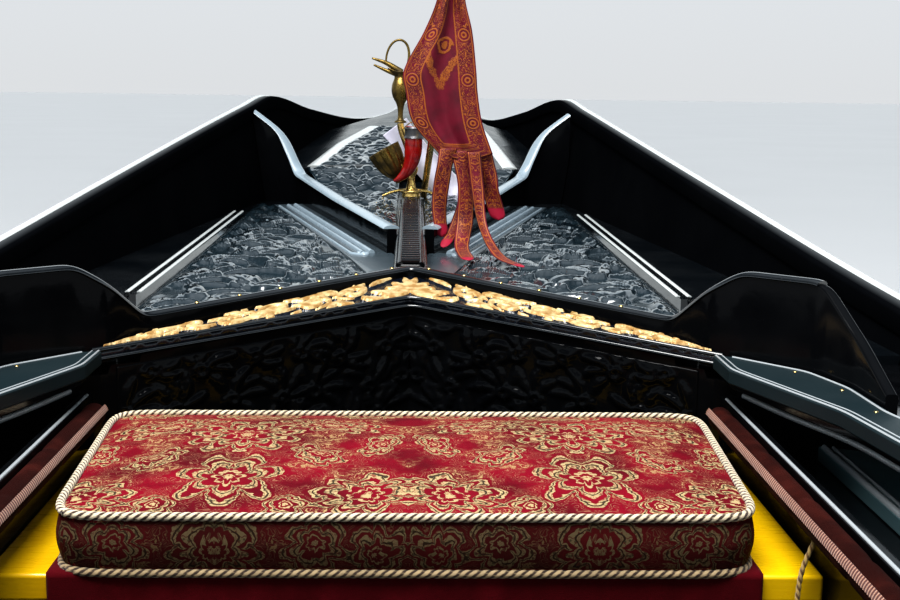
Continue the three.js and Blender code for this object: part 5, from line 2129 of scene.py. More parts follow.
@dataclass
class CockpitSides:
    """Caps, shelves, boards and padded rolls on both sides of the cockpit."""

    cap_inner: Array = field(default_factory=lambda: mm([
        [381, 640], [381, 556], [450, 357], [466, 227], [518, -200], [540, -900], [523, -1690]]))
    cap_outer: Array = field(default_factory=lambda: mm([
        [408, 634], [478, 550], [500, 465], [503, 357], [532, 227], [588, -200], [610, -900], [592, -1690]]))
    cap_top: float = 0.690
    roll_x: float = 0.3806
    roll_z: float = 0.622
    roll_radius: float = 0.014
    braid_heading: float = 152.0

    def build(self) -> None:
        """Makes both sides' pieces."""
        for name, side in SIDES.items():
            MAKER.softened(f"cockpit_cap_{name}", SATIN, 0.0025, 3)
            MAKER.softened(f"side_shelf_{name}", PAINTED_LIGHT_SHELF, 0.002, 2)
            MAKER.softened(f"side_deck_{name}", BLACK, 0.0015, 2)
            MAKER.softened(f"side_board_{name}", DEEP_BLACK, 0.002, 2)
            MAKER.piece(f"cap_mouldings_{name}", self.cap_beads(side), SILVERED)
            MAKER.piece(f"cap_rivets_{name}", self.cap_rivets(side), BRASS)
            MAKER.piece(f"shelf_mouldings_{name}", self.shelf_beads(side), SILVERED)
            MAKER.piece(f"board_edge_strip_{name}", self.edge_strip(side), SILVERED)
            MAKER.piece(f"ribbed_rod_{name}", self.ribbed_rod(side), SILVERED)
            roll = MAKER.piece(f"velvet_roll_{name}", self.roll(side), VELVET, [f"padded_roll_{name}"],
                               edge=Edge.ROUND)
            MAKER.piece(f"roll_braid_{name}", self.braid(side), BRAID)
            MAKER.softened(f"seahorse_{name}", BRASS, 0.004, 3)

    @staticmethod
    def edged(line: Array, side: int, inset: float, z: float) -> Array:
        """A line of the cap, eased, moved sideways by the inset and laid at a height.

        Args:
            line: Its corner points in plan, to starboard.
            side: 1 to starboard, -1 to port.
            inset: Distance to the side of the line.
            z: The height.

        Returns:
            The line's points.
        """
        plan = eased(line, 0.008, 0.03)
        travel = unit(np.gradient(plan, axis=0))
        plan = plan + np.column_stack([-travel[:, 1], travel[:, 0]]) * inset
        return np.column_stack([side * plan[:, 0], plan[:, 1], np.full(len(plan), z)])

    def cap_beads(self, side: int) -> Shape:
        """Two fine mouldings along the cap's inner edge and one along its outer edge.

        Args:
            side: 1 to starboard, -1 to port.

        Returns:
            The three mouldings.
        """
        rows = (
            (self.cap_inner, 0.004, 0.003), (self.cap_inner, 0.012, 0.002), (self.cap_outer, -0.006, 0.003))
        return joined([
            carried(self.edged(line, side, inset, self.cap_top - 0.0004), bead_section(wide, wide * 0.6))
            for line, inset, wide in rows])

    def cap_rivets(self, side: int) -> Shape:
        """Pins along the cap's outer edge, about 95 mm apart."""
        line = self.edged(self.cap_outer, side, -0.016, self.cap_top - 0.0002)
        return studs(resampled(line, 25)[1:-1], 0.0028, 0.0014)

    @staticmethod
    def shelf_beads(side: int) -> Shape:
        """A double moulding along the shelf's inner edge.

        Args:
            side: 1 to starboard, -1 to port.

        Returns:
            Both mouldings.
        """
        y = np.linspace(0.535, -1.68, 40)
        return joined([
            carried(np.stack([np.full(40, side * x), y, np.full(40, 0.5998)], -1),
                    bead_section(wide, wide * 0.62))
            for x, wide in ((0.4945, 0.008), (0.5055, 0.005))])

    @staticmethod
    def edge_strip(side: int) -> Shape:
        """Polished strip on the side board's top inner edge: a low half-round, 4.5 mm wide."""
        path = np.array([[side * 0.3985, y, 0.6358] for y in np.linspace(0.630, -0.345, 30)])
        return carried(path, bead_section(0.0045, 0.002, 9))

    @staticmethod
    def ribbed_rod(side: int) -> Shape:
        """Thin ribbed rod below the cap: its radius swells and shrinks with every 5 mm of length.

        Args:
            side: 1 to starboard, -1 to port.

        Returns:
            The closed shape.
        """
        ends = mm([[417, 646, 640], [445, 520, 642], [482, 400, 645], [500, 250, 646]])
        line = eased(ends * [side, 1, 1], 0.00125, 0.08)
        size = 0.0032 + 0.0006 * np.sin(lengths_along(line) * TURN / 0.005)
        return tube(line, size, 10)

    def roll(self, side: int) -> Shape:
        """The padded roll.

        A circle carried along the board. Its radius shrinks to nothing at either end as a quarter
        ellipse, and dips a little every 160 mm, where the velvet is tacked.

        Args:
            side: 1 to starboard, -1 to port.

        Returns:
            The closed shape.
        """
        fore, aft, closing = 0.604, -0.350, 0.016
        turn = np.linspace(0, math.pi / 2, 9)
        y = np.concatenate([
            fore - closing * (1 - np.cos(turn)), np.linspace(0.58, -0.33, 220),
            aft + closing * (1 - np.sin(turn))])
        end = np.minimum(fore - y, y - aft)
        close = np.sqrt(np.clip(1 - (1 - np.clip(end / closing, 0, 1)) ** 2, 0.0004, 1))
        tack = 1 - 0.10 * np.exp(-((np.mod(y, 0.16) - 0.08) / 0.008) ** 2)
        path = np.column_stack([np.full_like(y, side * self.roll_x), y, np.full_like(y, self.roll_z)])
        return tube(path, self.roll_radius * close * tack, 22)

    def braid(self, side: int) -> Shape:
        """Ribbed braid along the roll's upper inner side.

        A flat arch carried along the roll, its height waving with every 5 mm, so that ribs cross it.

        Args:
            side: 1 to starboard, -1 to port.

        Returns:
            The braid, whose mark groove is 1 on its ribs and 0 between them.
        """
        y = np.arange(0.596, -0.345, -0.00125)
        rib = 0.5 + 0.5 * np.sin(y * TURN / 0.005)
        a = np.linspace(-0.27, 0.27, 5)
        out = self.roll_radius + 0.0012 + 0.0011 * rib[:, None] * np.cos(a * 1.4)
        angle = math.radians(self.braid_heading) + a
        upper = np.stack([out * np.cos(angle), out * np.sin(angle)], -1)
        inner = self.roll_radius - 0.001
        lower = np.broadcast_to(
            np.stack([inner * np.cos(angle[::-1]), inner * np.sin(angle[::-1])], -1), (len(y), 5, 2))
        section = np.concatenate([upper, lower], axis=1)
        x = side * (self.roll_x + section[..., 0])
        z = self.roll_z + section[..., 1]
        shape = lofted(np.stack([x, np.repeat(y[:, None], 10, 1), z], -1))
        shape.marks["groove"] = (rib[:, None] * np.repeat([1, 0], 5)).ravel()
        return shape


# Cushions


@dataclass
class Cushion:
    """A boxed cushion: crowned faces, pinned seams with rope piping, swelled by a short simulation."""

    name: str
    node: str
    corners: Array
    low: float
    high: float
    crown: float
    rounding: float
    swell: float
    piping: float = 0.0044
    bulge: float = 0.003
    voxel: float = 0.008
    upright: bool = False
    shift: tuple[float, float, float] = (0.0, 0.0, 0.0)
    pressure: float = 4.0
    frames: int = 20
    pinned: float = 0.006
    level_from: float = 0.55
    sides_at: float = -0.395

    def outline(self, inset: float = 0.0) -> Array:
        """The seam's line in plan, its corners rounded, moved in by the inset.

        Args:
            inset: Distance that it is moved in.

        Returns:
            The loop's points, without the first repeated.
        """
        loop = eased_loop(self.corners, 0.003, self.rounding)
        travel = unit(np.roll(loop, -1, axis=0) - np.roll(loop, 1, axis=0))
        normal = np.column_stack([travel[:, 1], -travel[:, 0]])
        return loop - normal * inset * np.sign(self._area())

    def _area(self) -> float:
        """Twice the signed area inside the corners, positive when they run anticlockwise."""
        x, y = self.corners.T
        return float((x * np.roll(y, -1) - np.roll(x, -1) * y).sum())

    def form(self) -> Shape:
        """The unswelled form: rings of the outline, shrunk towards the middle by a share.

        The upper face rises by the crown times 1 less the share squared, and the sides pull in
        between the two seams.

        Returns:
            The closed form.
        """
        loop = self.outline(self.piping)
        centre = loop.mean(axis=0)
        high, low = self.high - self.piping, self.low + self.piping * 0.6
        middle = 0.5 * (high + low)
        rows = [(0.02, self.low)] + [(s, self.low) for s in (0.3, 0.6, 0.85, 0.96)] + [(1.0, low)]
        rows += [(1.0, middle), (1.0, high)]
        rows += [(s, high + self.crown * (1 - s * s)) for s in (0.96, 0.85, 0.7, 0.5, 0.3, 0.1, 0.02)]
        rings = []
        for share, z in rows:
            wider = self.outline(self.piping - self.bulge) if z == middle else loop
            ring = centre + (wider - centre) * share
            rings.append(np.column_stack([ring, np.full(len(ring), z)]))
        return lofted(np.array(rings))

    def seams(self) -> list[Array]:
        """The lines of both seams.

        Returns:
            The upper and the lower seam.
        """
        loop = self.outline(self.piping)
        heights = (self.high - self.piping, self.low + self.piping * 0.6)
        return [np.column_stack([loop, np.full(len(loop), z)]) for z in heights]

    def to_place(self, points: Array) -> Array:
        """From the cushion's own plane to the boat: unchanged, or stood up with its face to the bow.

        Args:
            points: Points in the cushion's own plane.

        Returns:
            Their places on the boat.
        """
        if self.upright:
            points = np.column_stack([points[:, 0], points[:, 2], points[:, 1]])
        return points + np.array(self.shift)

    def build(self) -> None:
        """Makes the cushion and its piping."""
        form = self.form()
        mesh = bpy.data.meshes.new(self.name)
        mesh.from_pydata(form.points.tolist(), [], form.faces)
        work = bmesh.new()
        work.from_mesh(mesh)
        bmesh.ops.recalc_face_normals(work, faces=work.faces)
        work.to_mesh(mesh)
        work.free()
        body = linked(f"{self.name}_form", mesh)
        remesh = body.modifiers.new("even", "REMESH")
        remesh.mode = "VOXEL"
        remesh.voxel_size = self.voxel
        self._apply(body)
        self._simulate(body)
        self._settle(body)
        final = body.data
        bpy.data.objects.remove(body)
        made = MAKER.finished(self.name, final, DAMASK, [self.node], Edge.ROUND)
        finer = made.modifiers.new("finer", "SUBSURF")
        finer.levels = finer.render_levels = 1
        for label, seam, finish in zip(("upper", "lower"), self.seams(), (PIPING, BEIGE_PIPING)):
            loop = np.vstack([seam, seam[:1]])
            path = resampled(loop, int(lengths_along(loop)[-1] / 0.00325))
            rope = twisted(path, self.piping, 0.026, closed=True)
            rope.points = self.to_place(rope.points)
            MAKER.piece(f"{self.name}_piping_{label}", rope, finish, edge=Edge.ROUND)

    @staticmethod
    def _apply(body: bpy.types.Object) -> None:
        """Replaces a mesh by what its modifiers make of it.

        Args:
            body: The object.
        """
        graph = bpy.context.evaluated_depsgraph_get()
        graph.update()
        mesh = bpy.data.meshes.new_from_object(body.evaluated_get(graph))
        body.modifiers.clear()
        body.data = mesh

    def _simulate(self, body: bpy.types.Object) -> None:
        """Swells the form by cloth pressure, its seams pinned, and caps how far a point may move.

        Args:
            body: The form's object.
        """
        rest = self._points(body.data)
        pins = body.vertex_groups.new(name="seams")
        near = np.zeros(len(rest), bool)
        size = 4000
        for seam in self.seams():
            for start in range(0, len(rest), size):
                block = rest[start:start + size]
                gap = np.linalg.norm(block[:, None] - seam[::2], axis=-1).min(axis=1)
                near[start:start + size] |= gap < self.pinned
        pins.add(np.flatnonzero(near).tolist(), 1.0, "REPLACE")
        cloth = body.modifiers.new("cloth", "CLOTH")
        cloth.settings.use_pressure = True
        cloth.settings.uniform_pressure_force = self.pressure
        cloth.settings.effector_weights.gravity = 0.0
        cloth.settings.vertex_group_mass = "seams"
        cloth.settings.quality = 4
        scene = bpy.context.scene
        for number in range(1, self.frames + 1):
            scene.frame_set(number)
        self._apply(body)
        scene.frame_set(1)
        moved = self._points(body.data) - rest
        far = np.linalg.norm(moved, axis=1, keepdims=True)
        moved *= np.minimum(1.0, self.swell / np.maximum(far, 1e-9))
        self._write(body.data, rest + moved)

    @staticmethod
    def _points(mesh: bpy.types.Mesh) -> Array:
        """The mesh's points as an array.

        Args:
            mesh: The mesh.

        Returns:
            One point a row.
        """
        flat = np.zeros(len(mesh.vertices) * 3, np.float32)
        mesh.vertices.foreach_get("co", flat)
        return flat.reshape(-1, 3).astype(float)

    @staticmethod
    def _write(mesh: bpy.types.Mesh, points: Array) -> None:
        """Moves the mesh's points to new places."""
        mesh.vertices.foreach_set("co", points.astype(np.float32).ravel())
        mesh.update()

    def _settle(self, body: bpy.types.Object) -> None:
        """Flattens the underside where it rests, charts the cloth, and puts the cushion in its place.

        The chart is in metres: plan for the upper face, and length and depth below the seam for
        the sides, picked by the direction that each face looks in.

        Args:
            body: The form's object.
        """
        mesh = body.data
        points = self._points(mesh)
        points[:, 2] = np.maximum(points[:, 2], self.low)
        self._write(mesh, points)
        normals = np.zeros(len(mesh.polygons) * 3, np.float32)
        mesh.polygons.foreach_get("normal", normals)
        normals = np.abs(normals.reshape(-1, 3))
        sizes = np.zeros(len(mesh.polygons), np.int32)
        mesh.polygons.foreach_get("loop_total", sizes)
        loops = np.zeros(len(mesh.loops), np.int32)
        mesh.loops.foreach_get("vertex_index", loops)
        facing = np.repeat(normals, sizes, axis=0)
        at = points[loops]
        base = at[:, 1] - self.corners[:, 1].min()
        depth = at[:, 2] - self.high
        level = facing[:, 2] > self.level_from
        to_front = facing[:, 1] >= facing[:, 0]
        u = np.where(level | to_front, at[:, 0], at[:, 1])
        v = np.where(level, base, depth + self.sides_at)
        layer = mesh.uv_layers.new(name="UVMap")
        layer.data.foreach_set("uv", np.stack([u, v], -1).astype(np.float32).ravel())
        self._write(mesh, self.to_place(points))
        if self.upright:
            mesh.flip_normals()


# Seats


@dataclass
class Seats:
    """The bow bench and the main seat with their cushions and cloth."""

    def build(self) -> None:
        """Makes the seats' pieces."""
        MAKER.softened("bow_bench", YELLOW, 0.004, 3)
        MAKER.softened("main_seat", DEEP_BLACK, 0.003, 2)
        MAKER.softened("seat_back", BLACK, 0.003, 2)
        Cushion(
            "damask_bow_cushion", "bow_cushion", mm([[-331, 197], [331, 197], [356, 586], [-356, 586]]),
            0.5690, 0.6305, 0.008, 0.075, 0.011, bulge=0.006).build()
        Cushion(
            "damask_seat_cushion", "seat_cushion",
            mm([[-447, -1592], [447, -1592], [447, -1090], [-447, -1090]]),
            0.3504, 0.435, 0.010, 0.06, 0.014, voxel=0.0125).build()
        Cushion(
            "damask_back_cushion", "back_cushion", mm([[-400, 440], [400, 440], [380, 740], [-380, 740]]),
            0.0, 0.058, 0.010, 0.07, 0.012, voxel=0.0125, upright=True, shift=(0.0, -1.6177, 0.0)).build()
        self.drape()
        MAKER.piece("seat_back_moulding", self.back_moulding(), BRASS)

    @staticmethod
    def drape() -> None:
        """The cloth that hangs below the cushion: a sheet with soft upright folds."""
        half, face = 0.334, 0.2083
        top, low = 0.5705, 0.392
        x = np.linspace(-half, half, 200)
        v = np.linspace(0, 1, 36)
        hang = top - (top - low) * v
        draw = np.random.default_rng(3)
        waves = sum(
            draw.uniform(0.4, 1.0) * np.sin(x * TURN / span + draw.uniform(0, TURN))
            for span in (0.052, 0.071, 0.105, 0.031))
        depth = 0.0032 * (waves / 2.2)[:, None] * (0.12 + 0.88 * v[None, :] ** 0.8)
        y = face - 0.0045 + np.minimum(depth, 0.0035)
        front = np.dstack([np.repeat(x[:, None], 36, 1), y, np.repeat(hang[None, :], 200, 0)])
        back_y = np.linspace(0.288, 0.2075, 9)[:-1]
        lap = np.dstack([
            np.repeat(x[:, None], 8, 1), np.repeat(back_y[None, :], 200, 0), np.full((200, 8), 0.5708)])
        grid = np.concatenate([lap, front], axis=1)
        cloth = MAKER.piece("valance_cloth", surface(grid), DRAPE, ["bench_drape"], Edge.ROUND, False)
        thickened(cloth, 0.0012)

    @staticmethod
    def back_moulding() -> Shape:
        """A brass half-round along the seat back's arched top edge, a little below it.

        Returns:
            The closed shape.
        """
        top = mm([[-430, 690], [-425, 720], [-400, 760], [-330, 786], [-250, 797], [-150, 812], [0, 876]])
        half = top[:-1]
        both = np.vstack([top, half[::-1] * [-1, 1]])
        line = eased(both, 0.006, 0.04)
        path = np.column_stack([line[:, 0], np.full(len(line), -1.6182), line[:, 1]])
        return carried(path, bead_section(0.009, 0.005), up=(0, 1, 0))


# Ornaments, flag and pennant


@dataclass
class Ornaments:
    """The brass pieces on the spine: holder, ewer, cup and horn charm."""

    x: float = 0.0
    y: float = 2.085
    z: float = 0.7712
    horn_place: tuple[float, float, float] = (0.006, 2.047, 0.9265)

    def at(self, x: float, y: float, z: float) -> Matrix:
        """A move from the holder's foot."""
        return Matrix.Translation((self.x + x, self.y + y, self.z + z))

    def build(self) -> None:
        """Makes the ornaments."""
        MAKER.piece("holder_turnings", self.holder(), BRASS, ["ornament_holder"])
        MAKER.piece("ewer_chased", self.ewer(), OLIVE_BRASS, ["ewer"], edge=Edge.ROUND)
        MAKER.piece("cup_fluted", self.cup(), OLIVE_BRASS, ["fluted_cup"])
        MAKER.piece("horn_body", self.horn(), RED_HORN, ["horn_charm"], edge=Edge.ROUND)
        MAKER.piece("horn_cap", self.horn_cap(), DARK_STEEL)
        MAKER.softened("flagpole", BRASS, 0.001, 1)

    def holder(self) -> Shape:
        """Turned foot with a ring, a bent stem, a wire hook for the charm, and two thin arms.

        Returns:
            The holder, in its place.
        """
        profile = smooth([
            [0, -11], [20, -11], [21, -2], [19, 5], [13, 11], [9, 26], [9, 38], [15, 50], [16, 58], [13, 66],
            [8, 72], [8, 80], [0, 80]], 60)
        stem = eased(mm([[0, 0, 74], [-10, 0, 110], [-26, 0, 150], [-26, 0, 161.5]]), 0.002, 0.02)
        hook = eased(mm([[-22, 0, 146], [-6, -24, 162], [6, -37, 168], [6, -38, 156.5]]), 0.002, 0.012)
        arms = [
            tube(eased(mm([[s * 8, 0, 8], [s * 40, 8, 4], [s * 66, 10, -8]]), 0.003, 0.02), 0.0032, 12)
            for s in (1, -1)]
        ring = tube(np.column_stack([circle(40) * 0.0215, np.full(40, 0.004)]), 0.0035, 10)
        return joined([
            turned(profile, 32), tube(stem, 0.0078, 20, (0, 1, 0)), tube(hook, 0.0014, 8, (0.2, 1, 0.1)),
            *arms, ring]).moved(self.at(0, 0, 0))

    def ewer(self) -> Shape:
        """A ewer: a turned body whose rim leans out into an open beak of two lips, with a loop handle.

        The radius at angle a is the profile's, plus the lean's reach times a bell about a = 180
        degrees, times the rise towards the rim, and the rim rises by the same bell.

        Returns:
            The ewer, in its place.
        """
        profile = smooth([
            [0, 0], [13, 0], [13, 4], [7, 9], [6, 24], [9, 42], [17, 58], [20.5, 74], [19, 90], [12, 102],
            [12, 108], [15, 116], [13, 116], [9, 106], [0, 98]], 90)
        knot = np.linspace(0, 14, 90)[:, None]
        a = np.arange(48) * TURN / 48
        bell = np.exp(-((a - math.pi) / 0.55) ** 2)
        rise = np.clip((knot - 8.2) / 2.8, 0, 1) * np.clip(13.6 - knot, 0, 1)
        radius = profile[:, :1] + 0.016 * rise ** 1.5 * bell
        lobes = 1 + 0.035 * np.cos(12 * a) * np.exp(-((profile[:, 1:] - 0.06) / 0.02) ** 2)
        body = revolved(radius * lobes, profile[:, 1:] + 0.008 * (rise * bell), a)
        lips = []
        for line, thick in (([[2, 0, 114], [-32, 0, 136], [-66, 0, 146]], 0.0085),
                            ([[2, 0, 106], [-30, 0, 117], [-62, 0, 131]], 0.0065)):
            route = eased(mm(line), 0.003, 0.02)
            lips.append(tube(route, np.linspace(thick, 0.0022, len(route)), 14, (0, 1, 0)))
        handle = eased(mm([
            [9, 0, 104], [14, 0, 122], [20, 0, 150], [18, 0, 176], [4, 0, 192], [-16, 0, 188],
            [-30, 0, 168], [-36, 0, 142], [-34, 0, 134]]), 0.002, 0.03)
        curl = tube(handle, np.linspace(0.0034, 0.0022, len(handle)), 12, (0, 1, 0))
        return joined([body, curl, *lips]).moved(self.at(-0.026, 0, 0.1623))

    def cup(self) -> Shape:
        """A fluted cup, open at the top: ten flutes that fade towards its foot, leaning to port.

        Returns:
            The cup, in its place.
        """
        outer = smooth([[0, 0], [13, 0], [12, 6], [16, 14], [26, 28], [34, 52], [38, 84]], 40)
        inner = smooth([[35.5, 84], [31, 52], [22, 28], [10, 18], [0, 15]], 24)
        profile = np.vstack([outer, inner])
        a = np.arange(80) * TURN / 80
        depth = 0.075 * np.clip(profile[:, 1:] / 0.04, 0.0, 1.0)
        depth[len(outer):] *= 0.4
        scale = 1 + depth * (np.abs(np.sin(5 * a)) * 2 - 1.2)
        lean = Matrix.Rotation(-0.52, 4, "Y")
        return revolved(profile[:, :1] * scale, profile[:, 1:], a).moved(
            self.at(-0.0232, -0.006, 0.028) @ lean)

    def horn(self) -> Shape:
        """A round horn.

        Its line falls straight from its cap and then curls to port, and its radius falls from
        20 mm to a blunt 3 mm.

        Returns:
            The horn, in its place.
        """
        line = smooth([[0, 0, 0], [-1, 0, -30], [-2, 0, -56], [-6, 0, -80], [-16, 0, -102], [-32, 0, -118],
                       [-46, 0, -125]], 60)
        radius = smooth([[19], [20], [20], [17.5], [13.5], [8.5], [3]], 60)[:, 0]
        return tube(line, radius, 28, (0, 1, 0)).moved(Matrix.Translation(self.horn_place))

    @staticmethod
    def horn_cap() -> Shape:
        """The horn's turned cap, finely fluted, with a ring at either end.

        Returns:
            The cap, in its place.
        """
        profile = smooth([
            [0, -27], [21.5, -27], [22.6, -24], [21.6, -20], [21.6, -8], [22.6, -5], [20.5, -1], [12, 0.4],
            [0, 0.4]], 50)
        return turned(profile, 36, 0.012, 18).moved(Matrix.Translation((0.006, 2.047, 0.9264)))


@dataclass
class Cloths:
    """The folded flag with its tails and the white pennant behind it."""

    depth: float = 1.535
    flag_length: float = 0.92
    flag_fullness: float = 0.72
    pennant_length: float = 0.24
    pennant_fullness: float = 0.8

    def build(self) -> None:
        grids = [self.flag_field()] + self.tails()
        shapes = [self.cloth(grid, is_tail=number > 0) for number, grid in enumerate(grids)]
        flag = MAKER.piece("flag_cloth", joined(shapes), BROCADE, ["flag"], Edge.ROUND, False)
        thickened(flag, 0.0009)
        grid = self.pennant()
        pennant = MAKER.piece("pennant_cloth", surface(grid), LINEN, ["pennant"], Edge.ROUND, False)
        thickened(pennant, 0.0008)

    @staticmethod
    def area(grid: Array) -> float:
        """Area of a grid surface: half the size of the cross product of each face's diagonals, summed.

        Args:
            grid: Points, as (rows, columns, 3).

        Returns:
            The area.
        """
        first = grid[1:, 1:] - grid[:-1, :-1]
        second = grid[1:, :-1] - grid[:-1, 1:]
        return float(0.5 * np.linalg.norm(np.cross(first, second), axis=-1).sum())

    @staticmethod
    def cloth(grid: Array, is_tail: bool) -> Shape:
        """A cloth's surface with its chart and marks.

        The chart holds metres across from the middle and metres down. The mark hem is the distance
        from the nearest edge, plain is 1 on the last 24 mm of a tail, and tail is 1 on a tail.

        Args:
            grid: Points of shape (rows, columns, 3).
            is_tail: Whether the cloth is a tail.

        Returns:
            The surface.
        """
        rows, columns, _ = grid.shape
        steps = np.linalg.norm(np.diff(grid, axis=1), axis=2)
        across = np.concatenate([np.zeros((rows, 1)), np.cumsum(steps, axis=1)], axis=1)
        down = np.repeat(lengths_along(grid[:, columns // 2])[:, None], columns, 1)
        left = down[-1:] - down
        hem = np.minimum(across, across[:, -1:] - across)
        hem = hem if is_tail else np.minimum(hem, left)
        plain = np.clip((0.026 - left) / 0.003, 0, 1) * is_tail
        uv = np.stack([across - across[:, -1:] / 2, down + 0.021 * is_tail], -1).reshape(-1, 2)
        marks = {"hem": hem.ravel(), "plain": plain.ravel(), "tail": np.full(rows * columns, float(is_tail))}
        return Shape(grid.reshape(-1, 3), grid_faces(rows, columns), uv, marks)

    def flag_field(self) -> Array:
        """The flag's field between its two edges, hung in folds.

        Each row runs from the left edge to the right edge. Folds are sines across the row, deeper
        and closer where the row is narrow, and they drift sideways on the way down.

        Returns:
            Points, as (rows, columns, 3).
        """
        rows, columns = 110, 60
        v = np.linspace(0, 1, rows)
        edges = spline([
            [0.0, 0.062, 0.088, 1.325], [0.2, 0.056, 0.092, 1.245], [0.36, 0.045, 0.098, 1.178],
            [0.50, 0.022, 0.112, 1.120], [0.66, -0.016, 0.121, 1.046], [0.74, -0.012, 0.124, 1.008],
            [0.87, 0.002, 0.134, 0.950], [1.0, 0.052, 0.155, 0.892]], v)
        left, right, z = edges.T
        u = np.linspace(0, 1, columns)
        x = left[:, None] + (right - left)[:, None] * u
        narrow = np.clip((0.10 - (right - left)) / 0.08, 0, 1)
        fold = 0.006 + 0.010 * narrow
        waves = np.sin(TURN * (1.6 * u[None, :] + 0.35 * v[:, None]) + 0.6)
        waves += 0.35 * np.sin(TURN * (3.3 * u[None, :] - 0.5 * v[:, None]))
        y = self.depth - 0.002 + fold[:, None] * waves * np.sin(math.pi * np.clip(u, 0.03, 0.97))[None, :]
        slant = -0.012 * np.sin(math.pi * u)[None, :] * np.clip((v - 0.75) / 0.25, 0, 1)[:, None]
        return np.dstack([x, y, z[:, None] + slant])

    @staticmethod
    def tails() -> list[Array]:
        """The flag's tails: strips with a rounded fold down their middle that twist on the way.

        Returns:
            One grid of points for each tail.
        """
        table = (
            ([[70, 1532, 902], [60, 1527, 850], [54, 1530, 790], [60, 1524, 734]], 34, 0.2),
            ([[94, 1538, 898], [104, 1532, 830], [103, 1520, 765], [96, 1470, 722], [104, 1350, 712]],
             38, 0.5),
            ([[118, 1530, 896], [126, 1520, 830], [136, 1490, 760], [160, 1400, 716], [196, 1275, 711]],
             26, -0.5),
            ([[134, 1540, 894], [147, 1545, 850], [158, 1550, 805], [170, 1548, 765]], 40, -0.3),
            ([[108, 1556, 892], [112, 1560, 830], [90, 1556, 760], [62, 1500, 716]], 30, 0.4),
        )
        rows, columns = 50, 10
        share = np.linspace(0, 1, rows)
        w = np.linspace(-0.5, 0.5, columns)
        rounding = np.sqrt(1.0001 - (np.maximum(share - 0.9, 0) / 0.1) ** 2)
        taper = (1 - 0.25 * share) * np.where(share > 0.9, rounding, 1)
        strips = []
        for knots, wide, twist in table:
            line = smooth(knots, rows)
            turn = twist * np.sin(share * math.pi) + 0.25 * np.sin(share * 9)
            size = wide * MM * taper
            lying = np.clip((0.735 - line[:, 2]) / 0.02, 0, 1)
            across = np.stack([np.cos(turn), np.sin(turn) * (1 - lying), np.zeros(rows)], -1)
            bulge = 0.004 * np.cos(math.pi * w)[None, :] * (1 - 0.7 * lying[:, None])
            grid = line[:, None] + across[:, None] * (w[None, :, None] * size[:, None, None])
            grid[..., 1] -= bulge * (1 - lying[:, None])
            grid[..., 2] += bulge * lying[:, None]
            strips.append(grid)
        return strips

    @staticmethod
    def pennant() -> Array:
        """White cloth hung behind the charm: folded between two edges, narrowing to its foot.

        Returns:
            Points, as (rows, columns, 3).
        """
        rows, columns = 90, 44
        v = np.linspace(0, 1, rows)
        edges = spline([
            [0.0, -68, 901, -13, 943], [0.3, -30, 860, 34, 884], [0.6, 12, 812, 92, 824],
            [0.85, 46, 774, 118, 790], [1.0, 62, 756, 110, 757]], v) * MM
        left, right = edges[:, :2], edges[:, 2:]
        u = np.linspace(0, 1, columns)
        plane = left[:, None] * (1 - u[None, :, None]) + right[:, None] * u[None, :, None]
        fold = np.sin(TURN * (1.3 * u[None, :] + 0.5 * v[:, None])) * (0.3 + 0.7 * v[:, None])
        return np.dstack([plane[..., 0], 2.166 + 0.006 * fold, plane[..., 1]])


# Stern and rowing gear


